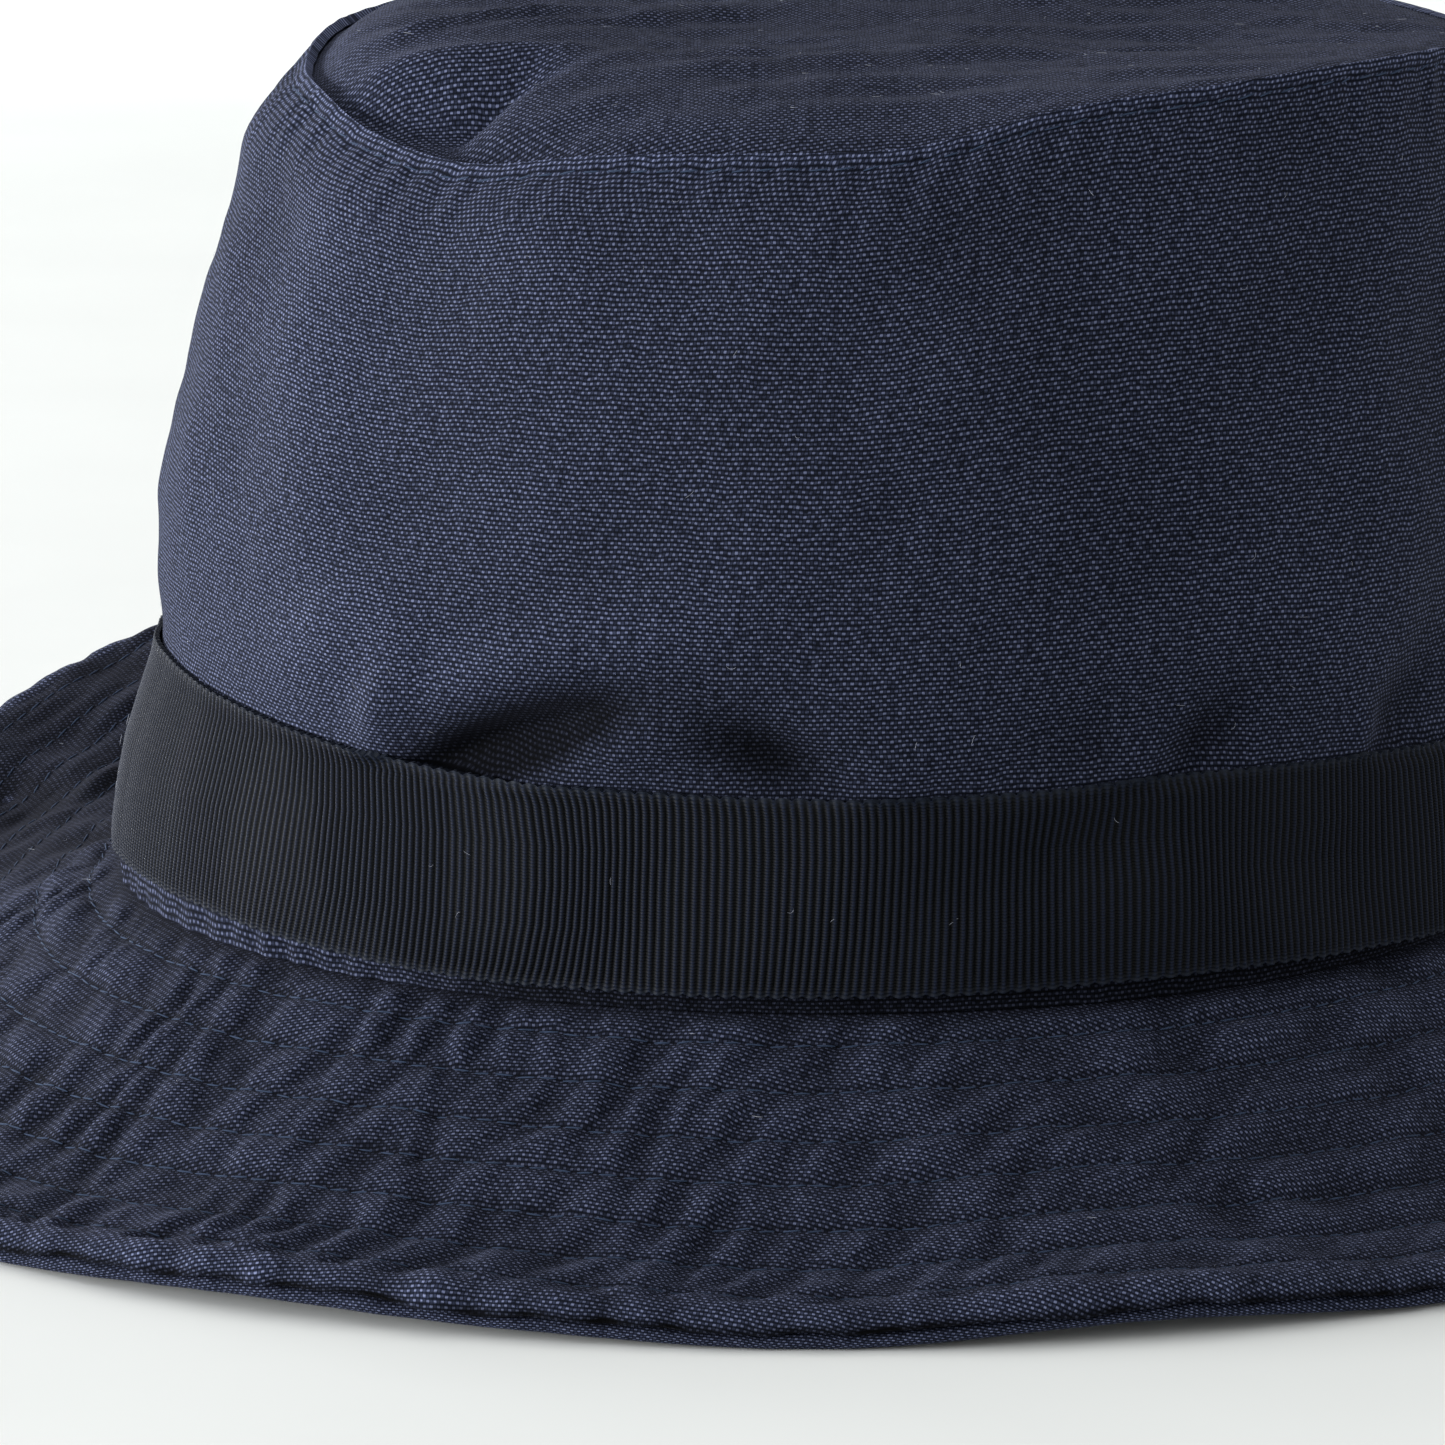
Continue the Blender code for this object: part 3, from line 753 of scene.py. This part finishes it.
upper_rows = len(TOP_REACHES) + len(ROLL_TURNS) + len(BACK_REACHES)
upper = close_cloth(lay_cloth("brim_top_layer", BRIM_COLUMNS, upper_rows, upper_place))
print("upper layer has", len(upper.data.polygons), "faces")

UNDER_COLUMNS, UNDER_ROLL = 720, 2 * MM
UNDER_TOPS = np.concatenate([[MARGIN], np.linspace(0, UNDER_EDGE, 16)])
UNDER_TURNS = np.radians(np.linspace(75, -90, 9))
UNDER_BACKS = np.concatenate([np.linspace(0.93, 0.0, 44), [MARGIN]])


def under_place(column, row):
    """The under layer's grid, laid in the same three parts, down to the table."""
    angle = column % UNDER_COLUMNS * 360 / UNDER_COLUMNS
    parts = split_rows(row, UNDER_TOPS, UNDER_TURNS, UNDER_BACKS)
    reach, turn, back, rolled, under = parts
    x, y = brim_flat(angle, reach)
    points = np.stack([x, y, layer_gap(angle, reach) - GAP / 2], -1)
    threads = brim_threads(angle, slope_run(np.maximum(reach, 0)))
    wear_and_shading = reach * 0.0

    foot = rim_foot(angle)
    high = seam_height(angle) - GAP / 2
    middle = (foot + high) / 2
    wide = 1.9 * MM + 0.6 * edge_swell(angle + 3)
    x, y = brim_flat(angle, UNDER_EDGE + wide * np.cos(turn) / BRIM_WIDTH)
    z = middle + (high - foot) / 2 * np.sin(turn)
    weave = brim_threads(angle, slope_run(UNDER_EDGE) + (np.pi / 2 - turn) * UNDER_ROLL)
    # The lower roll is rubbed lighter, with painted shade at its top, in the seam under the upper
    # roll.
    shading_and_wear = 0.45 - 1.4 * eased(0.7, 1.25, turn)
    lay_part(rolled, points, (x, y, z), threads, weave, wear_and_shading, shading_and_wear)

    x, y = brim_flat(angle, back)
    fall = brim_top(angle, back) - 2 * CANVAS - GAP
    z = np.maximum(np.minimum(foot, fall), fall - 0.7 * brim_pucker(angle, back))
    weave = brim_threads(angle, slope_run(np.maximum(back, 0)))
    lay_part(under, points, (x, y, z), threads, weave, wear_and_shading, back * 0)
    return points, threads, wear_and_shading


under_rows = len(UNDER_TOPS) + len(UNDER_TURNS) + len(UNDER_BACKS)
lower = close_cloth(lay_cloth("brim_under_layer", UNDER_COLUMNS, under_rows, under_place))
print("under layer has", len(lower.data.polygons), "faces")

# %% [markdown]
# ## The stitches
# A lockstitch shows as a short grain of thread, pulled into the cloth at both ends and
# turned a little out of the row. One grain is a small sphere, stretched in edit mode. It
# is then copied along every row into one mesh, because thousands of separate objects
# would be slow to handle and there is nothing to tell them apart.

# %% One stitch
STITCH_LENGTH, STITCH_PITCH, THREAD = 2.5 * MM, 3.1 * MM, 0.30 * MM
bpy.ops.object.select_all(action="DESELECT")
bpy.ops.mesh.primitive_uv_sphere_add(
    segments=6, ring_count=5, radius=0.5, rotation=(0, np.pi / 2, 0))
grain = bpy.context.object
bpy.ops.object.transform_apply(location=False, rotation=True, scale=False)
bpy.ops.object.mode_set(mode="EDIT")
bpy.ops.mesh.select_all(action="SELECT")
bpy.ops.transform.resize(value=(STITCH_LENGTH, THREAD, THREAD))
bpy.ops.object.mode_set(mode="OBJECT")
grain_points = np.array([corner.co for corner in grain.data.vertices])
# Blender lists a sphere's faces in another order each time, so they are sorted.
grain_faces = sorted(list(face.vertices) for face in grain.data.polygons)
bpy.data.objects.remove(grain)
print("one stitch has", len(grain_faces), "faces")


def mesh_piece(name, points, faces):
    """A piece made of corners and faces that are ready."""
    mesh = bpy.data.meshes.new(name)
    mesh.from_pydata(points, [], faces)
    piece = bpy.data.objects.new(name, mesh)
    bpy.context.scene.collection.objects.link(piece)
    return piece


def sew(name, rows, seed):
    """One mesh of stitches from rows of (middles, ways along, ways out)."""
    draw = np.random.default_rng(seed)
    middles, along, out = (np.concatenate([row[k] for row in rows]) for k in range(3))
    along, out = unit(along), unit(out)
    across = np.cross(out, along)
    slant = np.radians(draw.normal(7, 4, len(middles)))[:, None]
    way = along * np.cos(slant) + across * np.sin(slant)
    across = across * np.cos(slant) - along * np.sin(slant)
    sizes = draw.normal(1, 0.07, len(middles))[:, None]
    points = sum(
        grain_points[None, :, k, None] * (axis * (sizes if k == 0 else 1))[:, None, :]
        for k, axis in enumerate((way, across, out))
    ) + middles[:, None, :]
    count = len(grain_points)
    faces = [[corner + i * count for corner in face]
             for i in range(len(middles)) for face in grain_faces]
    piece = mesh_piece(name, points.reshape(-1, 3).tolist(), faces)
    piece.data.shade_smooth()
    print(name, "has", len(middles), "stitches")
    return piece


LINE_STEPS = 2400


def along_row(point, start, stop, pitch=STITCH_PITCH):
    """Stitches evenly along a line of the cloth, point(place), from start to stop."""
    fine = np.linspace(start, stop, LINE_STEPS)
    line = point(fine)
    run = np.concatenate([[0], np.cumsum(np.linalg.norm(np.diff(line, axis=0), axis=1))])
    count = max(2, round(run[-1] / pitch))
    places = np.interp((np.arange(count) + 0.5) / count * run[-1], run, fine)
    small = (stop - start) / LINE_STEPS * 4
    return places, point(places), point(places + small) - point(places - small)


# %% Rows of stitches
TIP_PITCH, SEAM_PITCH = 3.5 * MM, 3.3 * MM
BRIM_STAND, UNDER_STAND, CROWN_STAND = 0.06 * MM, 0.05 * MM, 0.08 * MM
brim_rows = []
under_rows_sewn = []
for row in STITCH_ROWS:
    places, middles, ways = along_row(lambda a: brim_upper_point(a, a * 0 + row), 0, 360)
    beside = brim_upper_point(places, places * 0 + row + 0.01) - middles
    out = np.cross(beside, ways)
    brim_rows.append((middles + unit(out) * BRIM_STAND, ways, out))
    under = middles - unit(out) * (2 * CANVAS + GAP + UNDER_STAND)
    under[:, 2] = np.maximum(under[:, 2], THREAD / 2)
    under_rows_sewn.append((under, ways, -out))

tip_row = 3 - STITCH_DROP / (CROWN_HEIGHT - BAND_RAISE - BAND_WIDTH)
places, middles, ways = along_row(lambda a: side_point(a, a * 0 + tip_row), -200, 160, TIP_PITCH)
out = side_out(places, places * 0 + tip_row)
crown_rows = [(middles + out * CROWN_STAND, ways, out)]
SEAM_STITCH = np.degrees(1.6 * MM / HEAD_ROUND)
for seam in (SIDE_SEAM, SIDE_SEAM + 180):
    for angle in (seam - SEAM_STITCH, seam + SEAM_STITCH):
        line = along_row(lambda s: side_point(s * 0 + angle, s), 2.02, 2.97, SEAM_PITCH)
        places, middles, ways = line
        out = side_out(places * 0 + angle, places)
        crown_rows.append((middles + out * CROWN_STAND, ways, out))

brim_thread = sew("brim_stitches", brim_rows, 61)
under_thread = sew("brim_under_stitches", under_rows_sewn, 62)
crown_thread = sew("crown_stitches", crown_rows, 63)

# %% [markdown]
# ## Lint
# A dark cloth shows every loose fibre. A few hundred short bent hairs lie on the crown,
# the brim and the ribbon. Each one is a thin three-sided tube along a small random arc.

# %% Lint
HAIR, HAIR_STEPS, HAIR_STAND, HAIRS = 0.055 * MM, 6, 0.12 * MM, 260
ON_RIBBON, UPWARDS = 1.5 * MM, np.array([0.0, 0.0, 1.0])


def hair(start, along, out, length, curl):
    """Corners of one bent hair that lies on the cloth, ring by ring."""
    turns = curl * np.linspace(-0.5, 0.5, HAIR_STEPS)
    across = np.cross(out, along)
    steps = along * np.cos(turns)[:, None] + across * np.sin(turns)[:, None]
    path = start + np.cumsum(steps, axis=0) * length / HAIR_STEPS + out * HAIR_STAND
    thick = HAIR / 2 * np.array([0.3, 1, 1, 1, 1, 0.3])
    corners = []
    for spoke in np.radians([90, 210, 330]):
        aside = np.cross(steps, out) * np.cos(spoke) + out * np.sin(spoke)
        corners.append(path + aside * thick[:, None])
    return np.stack(corners, axis=1).reshape(-1, 3)


def lint(name, count, seed):
    """One mesh of hairs, drawn over the tip, the side, the ribbon and the brim."""
    draw = np.random.default_rng(seed)
    points, faces = [], []
    for k in range(count):
        angle = np.array([draw.uniform(-180, 180)])
        share = draw.uniform(0, 1, 1)
        if k % 4 == 0:
            start, out = tip_point(angle, np.sqrt(share) * 0.95)[0], UPWARDS
        elif k % 4 == 3:
            reach = 0.05 + 0.85 * share
            start, out = brim_upper_point(angle, reach)[0], UPWARDS
        else:
            station = 1.1 + 0.8 * share if k % 8 == 1 else 2.05 + 0.9 * share
            lift = ON_RIBBON if k % 8 == 1 else 0.0
            start, out = side_point(angle, station, lift)[0], side_out(angle, station)[0]
        free = draw.normal(size=3)
        along = unit(np.cross(out, free))
        rings = hair(start, along, out, draw.uniform(0.7, 2.2) * MM, draw.uniform(-2.5, 2.5))
        first = len(points)
        points.extend(rings.tolist())
        for step in range(HAIR_STEPS - 1):
            for side in range(3):
                a, b = first + step * 3 + side, first + step * 3 + (side + 1) % 3
                faces.append([a, b, b + 3, a + 3])
        last = first + (HAIR_STEPS - 1) * 3
        faces += [[first + 2, first + 1, first], [last, last + 1, last + 2]]
    print(name, "has", count, "hairs")
    return mesh_piece(name, points, faces)


loose_lint = lint("loose_lint", HAIRS, 71)

# %% [markdown]
# ## Finishes
# A finish is a small network of nodes. One function adds a node, sets it and links it, and
# one turns the hex colours of a picture into the linear light that shaders work in.

# %% Node and colour helpers
def linear(hex_colour):
    """An sRGB hex colour as linear red, green, blue and alpha."""
    parts = [int(hex_colour[k:k + 2], 16) / 255 for k in (1, 3, 5)]
    return [p / 12.92 if p <= 0.04045 else ((p + 0.055) / 1.055) ** 2.4 for p in parts] + [1.0]


def plug(node, inputs):
    """Give a node's inputs values, hex colours, outputs, or nodes for their first output."""
    for key, value in inputs.items():
        if isinstance(value, str):
            value = linear(value)
        if isinstance(value, bpy.types.Node):
            value = value.outputs[0]
        if isinstance(value, bpy.types.NodeSocket):
            node.id_data.links.new(value, node.inputs[key])
        else:
            node.inputs[key].default_value = value


def add(tree, kind, inputs=None, **settings):
    """Add a node, set its own settings and plug its inputs."""
    node = tree.nodes.new("ShaderNode" + kind)
    for name, value in settings.items():
        setattr(node, name, value)
    plug(node, inputs or {})
    return node


def finish(name, sockets):
    """A new material, its tree and its Principled shader, with these sockets set."""
    material = bpy.data.materials.new(name)
    material.use_nodes = True
    shader = material.node_tree.nodes["Principled BSDF"]
    plug(shader, sockets)
    return material, material.node_tree, shader


def flecked(name, scale, detail, dark, pale, sockets):
    """A finish of two tones in soft clouds, with scale clouds to a metre."""
    material, tree, shader = finish(name, sockets)
    place = add(tree, "TexCoord").outputs["Object"]
    cloud = add(tree, "TexNoise", {"Vector": place, "Scale": scale, "Detail": detail})
    tone = add(tree, "Mix", {"Factor": cloud, "A": dark, "B": pale}, data_type="RGBA")
    plug(shader, {"Base Color": tone.outputs["Result"]})
    return material


print("the darkest dye as linear light:", [round(part, 4) for part in linear("#07090f")])

# %% [markdown]
# ### Washed cotton canvas
# Plain weave, dyed navy and washed: each thread goes over one and under one, about 0.56 mm
# apart. Its threads are thick and matt, the dye stays in the gaps and rubs off the high
# threads and the edges, and loose fibres give it a faint bloom at a grazing angle.
# Two cosines along the threads make the weave: their product tells which thread is on top.
# Noise on the weave map is counted per millimetre: the threads wander over 4.5 mm and a
# slub is about 1 mm long. On object coordinates it is counted per metre, so the washed
# patches, at 45, are about 22 mm wide.

# %% Canvas
WARP_STEP, WEFT_STEP, WARP_SHARE, WEAR_AND_SHADE_STRENGTH = 0.475, 0.62, 0.55, 0.45
BLOOM = "#a4aacb"
canvas, tree, shader = finish("washed_cotton_canvas", {
    "Roughness": 0.88, "Specular IOR Level": 0.05,
    "Sheen Weight": 0.05, "Sheen Roughness": 0.45, "Sheen Tint": BLOOM,
})
weave = add(tree, "UVMap", uv_map="weave")
wobble = add(tree, "TexNoise", {"Vector": weave, "Scale": 0.22, "Detail": 2.0})
wander = add(tree, "VectorMath", {0: wobble.outputs["Color"], 1: (0.5, 0.5, 0.5)},
             operation="SUBTRACT")
bent = add(tree, "VectorMath", {0: wander, 1: (0.9, 0.9, 0.0), 2: weave}, operation="MULTIPLY_ADD")
steps = (float(np.pi / WARP_STEP), float(np.pi / WEFT_STEP), 0.0)
phase = add(tree, "VectorMath", {0: bent, 1: steps}, operation="MULTIPLY")
waves = add(tree, "VectorMath", {0: phase}, operation="COSINE")
stretched = add(tree, "VectorMath", {0: waves, 1: (1.9, 1.0, 0.0)}, operation="MULTIPLY")
blunt = add(tree, "VectorMath", {0: stretched, 1: (1.0, 1.0, 1.0)}, operation="MINIMUM")
blunt = add(tree, "VectorMath", {0: blunt, 1: (-1.0, -1.0, -1.0)}, operation="MAXIMUM")
ways = add(tree, "SeparateXYZ", {0: blunt})
over = add(tree, "Math", {0: ways, 1: ways.outputs[1]}, operation="MULTIPLY")
weft_body = add(tree, "Math", {0: ways.outputs[1]}, operation="ABSOLUTE")
warp_body = add(tree, "Math", {0: ways}, operation="ABSOLUTE")
weft = add(tree, "Math", {0: weft_body, 1: over}, operation="ADD")
warp = add(tree, "Math", {0: warp_body, 1: over}, operation="SUBTRACT")
warp_low = add(tree, "Math", {0: warp, 1: WARP_SHARE}, operation="MULTIPLY")
cloth_high = add(tree, "Math", {0: weft, 1: warp_low}, operation="MAXIMUM")
slub_map = add(tree, "Mapping", {"Vector": weave, "Scale": (0.8, 1.6, 1.0)})
slub = add(tree, "TexNoise", {"Vector": slub_map, "Scale": 1.0, "Detail": 2.0})
slub_high = add(tree, "MapRange", {"Value": slub, "From Min": 0.28, "From Max": 0.72,
                                   "To Min": 0.31, "To Max": 0.65})
height = add(tree, "Math", {0: cloth_high, 1: slub_high}, operation="MULTIPLY")
tone = add(tree, "ValToRGB", {0: height})
stops = tone.color_ramp.elements
stops[0].position, stops[0].color = 0.08, linear("#07090f")
stops[1].position, stops[1].color = 1.0, linear("#595f78")
for position, hex_colour in ((0.34, "#0f121c"), (0.66, "#2b3042")):
    stops.new(position).color = linear(hex_colour)
place = add(tree, "TexCoord")
patches = add(tree, "TexNoise", {"Vector": place.outputs["Object"], "Scale": 45.0, "Detail": 4.0})
patch = add(tree, "MapRange", {"Value": patches, "From Min": 0.3, "From Max": 0.7,
                               "To Min": -0.10, "To Max": 0.10})
# The cloth's attribute makes the colour lighter where the cloth is rubbed, and also carries
# painted shade in folds, grooves, seams, under the ribbon and on the brim's back, and painted
# light on the crown's left and on the tip.
shading_and_wear = add(tree, "Attribute", attribute_name="wear_and_shading")
wear_shade_shift = add(tree, "Math", {0: shading_and_wear.outputs["Fac"], 1: WEAR_AND_SHADE_STRENGTH, 2: patch}, operation="MULTIPLY_ADD")
light = add(tree, "Math", {0: wear_shade_shift, 1: 1.0}, operation="ADD")
colour = add(tree, "VectorMath", {0: tone, "Scale": light}, operation="SCALE")
bump = add(tree, "Bump", {"Height": height, "Strength": 0.5, "Distance": 0.00015})
plug(shader, {"Base Color": colour, "Normal": bump})
print("canvas has a warp thread every", WARP_STEP, "mm and a weft thread every", WEFT_STEP, "mm")

# %% [markdown]
# ### Grosgrain ribbon
# Rayon and cotton, dyed black: the ribs are relief already, so the finish adds the fine
# warp that crosses them, in a grain of 0.4 mm, a low gloss, colour painted lighter on the
# rib crests and near black in the grooves between them, as painted highlight and painted
# shade, and a greyer look on the edge loops.

# %% Ribbon
WARP_PITCH, CREST_POWER = 0.42, 3.5
ribbon, tree, shader = finish("black_grosgrain_ribbon", {
    "Roughness": 0.62, "Specular IOR Level": 0.12, "Sheen Weight": 0.03, "Sheen Tint": BLOOM,
})
weave = add(tree, "UVMap", uv_map="weave")
split = add(tree, "SeparateXYZ", {0: weave})
warp_turn = float(2 * np.pi / WARP_PITCH)
turn = add(tree, "Math", {0: split.outputs[1], 1: warp_turn}, operation="MULTIPLY")
wrap = add(tree, "Math", {0: turn}, operation="SINE")
fuzz = add(tree, "TexNoise", {"Vector": weave, "Scale": 2.6, "Detail": 3.0})
grain_high = add(tree, "Math", {0: fuzz, 1: 2.0, 2: wrap}, operation="MULTIPLY_ADD")
# Painted highlight on the rib crests and painted shade in the grooves between them: the colour
# runs from near black in a groove to blue-grey on a crest.
rib_step = float(np.pi / (RIB_PITCH / MM))
rib_turn = add(tree, "Math", {0: split, 1: rib_step}, operation="MULTIPLY")
rib_wave = add(tree, "Math", {0: rib_turn}, operation="COSINE")
rib_size = add(tree, "Math", {0: rib_wave}, operation="ABSOLUTE")
crest = add(tree, "Math", {0: rib_size, 1: CREST_POWER}, operation="POWER")
shade = add(tree, "MapRange", {"Value": grain_high, "From Min": -0.6, "From Max": 2.4,
                               "To Min": 0.25, "To Max": 1.0})
lit = add(tree, "Math", {0: shade, 1: crest}, operation="MULTIPLY")
mixed = add(tree, "Mix", {"Factor": lit, "A": "#010202", "B": "#171f32"}, data_type="RGBA")
shading_and_wear = add(tree, "Attribute", attribute_name="wear_and_shading")
edge = add(tree, "Mix", {"Factor": shading_and_wear.outputs["Fac"], "A": mixed.outputs["Result"],
                         "B": "#1a202b"}, data_type="RGBA")
bump = add(tree, "Bump", {"Height": grain_high, "Strength": 0.5, "Distance": 0.00006})
plug(shader, {"Base Color": edge.outputs["Result"], "Normal": bump})
print("the ribbon's warp crosses a rib every", WARP_PITCH, "mm")

# %% [markdown]
# ### Sewing thread
# Spun polyester core thread, a little bluer and glossier than the canvas, which shows the
# rows as fine light dashes.

# %% Thread
THREAD_FLECK = 900.0
thread = flecked("navy_sewing_thread", THREAD_FLECK, 2.0, "#1d2739", "#38465f",
                 {"Roughness": 0.75, "Specular IOR Level": 0.15})
print("thread is flecked every", round(1 / THREAD_FLECK / MM, 1), "mm")

# %% [markdown]
# ### Lint
# Pale cotton fibres, matt and slightly grey.

# %% Lint finish
fluff = flecked("pale_cotton_lint", 120.0, 2.0, "#4c5164", "#b4b8c2", {"Roughness": 0.9})
print("finishes:", [finished.name for finished in (canvas, ribbon, thread, fluff)])

# %% [markdown]
# ## Dress the frame
# Every piece gets its finish, rides on the hat's one body and hides the plain solid that
# it stands for.

# %% Dress
dressed = [
    (panels["crown_side_front"], canvas, "navy_canvas", "crown_side_front"),
    (panels["crown_side_back"], canvas, "navy_canvas", "crown_side_back"),
    (tip, canvas, "navy_canvas", "crown_tip"),
    (band, ribbon, "black_ribbon", "hat_band"),
    (upper, canvas, "navy_canvas", "brim_upper"),
    (lower, canvas, "navy_canvas", "brim_under"),
    (brim_thread, thread, "navy_canvas", None),
    (under_thread, thread, "navy_canvas", None),
    (crown_thread, thread, "navy_canvas", None),
    (loose_lint, fluff, "navy_canvas", None),
]
for piece, material, slot, node in dressed:
    piece.data.materials.clear()
    piece.data.materials.append(material)
    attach(piece, "root")
    if node:
        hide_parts(node)

# %% [markdown]
# ## Table and light
# The hat lies on a pale table that curves up at its far edge into a low white board, which
# is all that the camera sees of a white wall. It is low, so the hat can be looked at from
# behind. One soft light stands low at the left like a window, a weaker one behind it, and
# the white room fills the shadows.

# %% Table
TABLE_FRONT, TABLE_BACK, TABLE_HALF = -1.8, 0.95, 2.4
BOARD_TOP, SWEEP = 0.13, 0.10
bpy.ops.object.select_all(action="DESELECT")
bpy.ops.mesh.primitive_plane_add(size=2)
table = bpy.context.object
table.name = "table"
bpy.ops.object.mode_set(mode="EDIT")
bpy.ops.mesh.select_all(action="SELECT")
bpy.ops.transform.resize(value=(TABLE_HALF, (TABLE_BACK - TABLE_FRONT) / 2, 1))
bpy.ops.transform.translate(value=(0, (TABLE_BACK + TABLE_FRONT) / 2, 0))
bpy.ops.mesh.select_all(action="DESELECT")
bpy.ops.object.mode_set(mode="OBJECT")
for side in table.data.edges:
    ends = [table.data.vertices[k].co.y for k in side.vertices]
    side.select = min(ends) > TABLE_BACK - 0.01
bpy.ops.object.mode_set(mode="EDIT")
bpy.ops.mesh.select_mode(type="EDGE")
bpy.ops.mesh.extrude_region_move(TRANSFORM_OT_translate={"value": (0, 0, BOARD_TOP)})
bpy.ops.object.mode_set(mode="OBJECT")
harden(table, "BEVEL", width=SWEEP, segments=12, limit_method="ANGLE",
       angle_limit=np.radians(30))
bpy.ops.object.shade_smooth()
paint = flecked("matt_white_board", 14.0, 3.0, "#e7eae9", "#eff2f1", {"Roughness": 0.8})
table.data.materials.append(paint)
print("table runs from", TABLE_FRONT, "to", TABLE_BACK, "m")

# %% Light
HAT_MIDDLE = (0, 0, 0.12)


def soft_light(name, place, width, height, power):
    """A soft light of this width and height that looks at the hat."""
    lamp = bpy.data.lights.new(name, "AREA")
    lamp.shape = "RECTANGLE"
    lamp.size = width
    lamp.size_y = height
    lamp.energy = power
    holder = bpy.data.objects.new(name, lamp)
    holder.location = place
    way = Vector(HAT_MIDDLE) - Vector(place)
    holder.rotation_euler = way.to_track_quat("-Z", "Y").to_euler()
    bpy.context.scene.collection.objects.link(holder)


soft_light("window", (-1.35, -0.36, 0.18), 1.0, 0.30, 27)
soft_light("rim_light", (-1.15, 0.76, 0.14), 0.6, 0.22, 12)
world = bpy.data.worlds.new("white_room")
world.use_nodes = True
plug(world.node_tree.nodes["Background"], {"Color": "#fafaf9", "Strength": 0.90})
bpy.context.scene.world = world
bpy.context.scene.view_settings.view_transform = "Standard"
print("lights:", [lamp.name for lamp in bpy.data.lights])
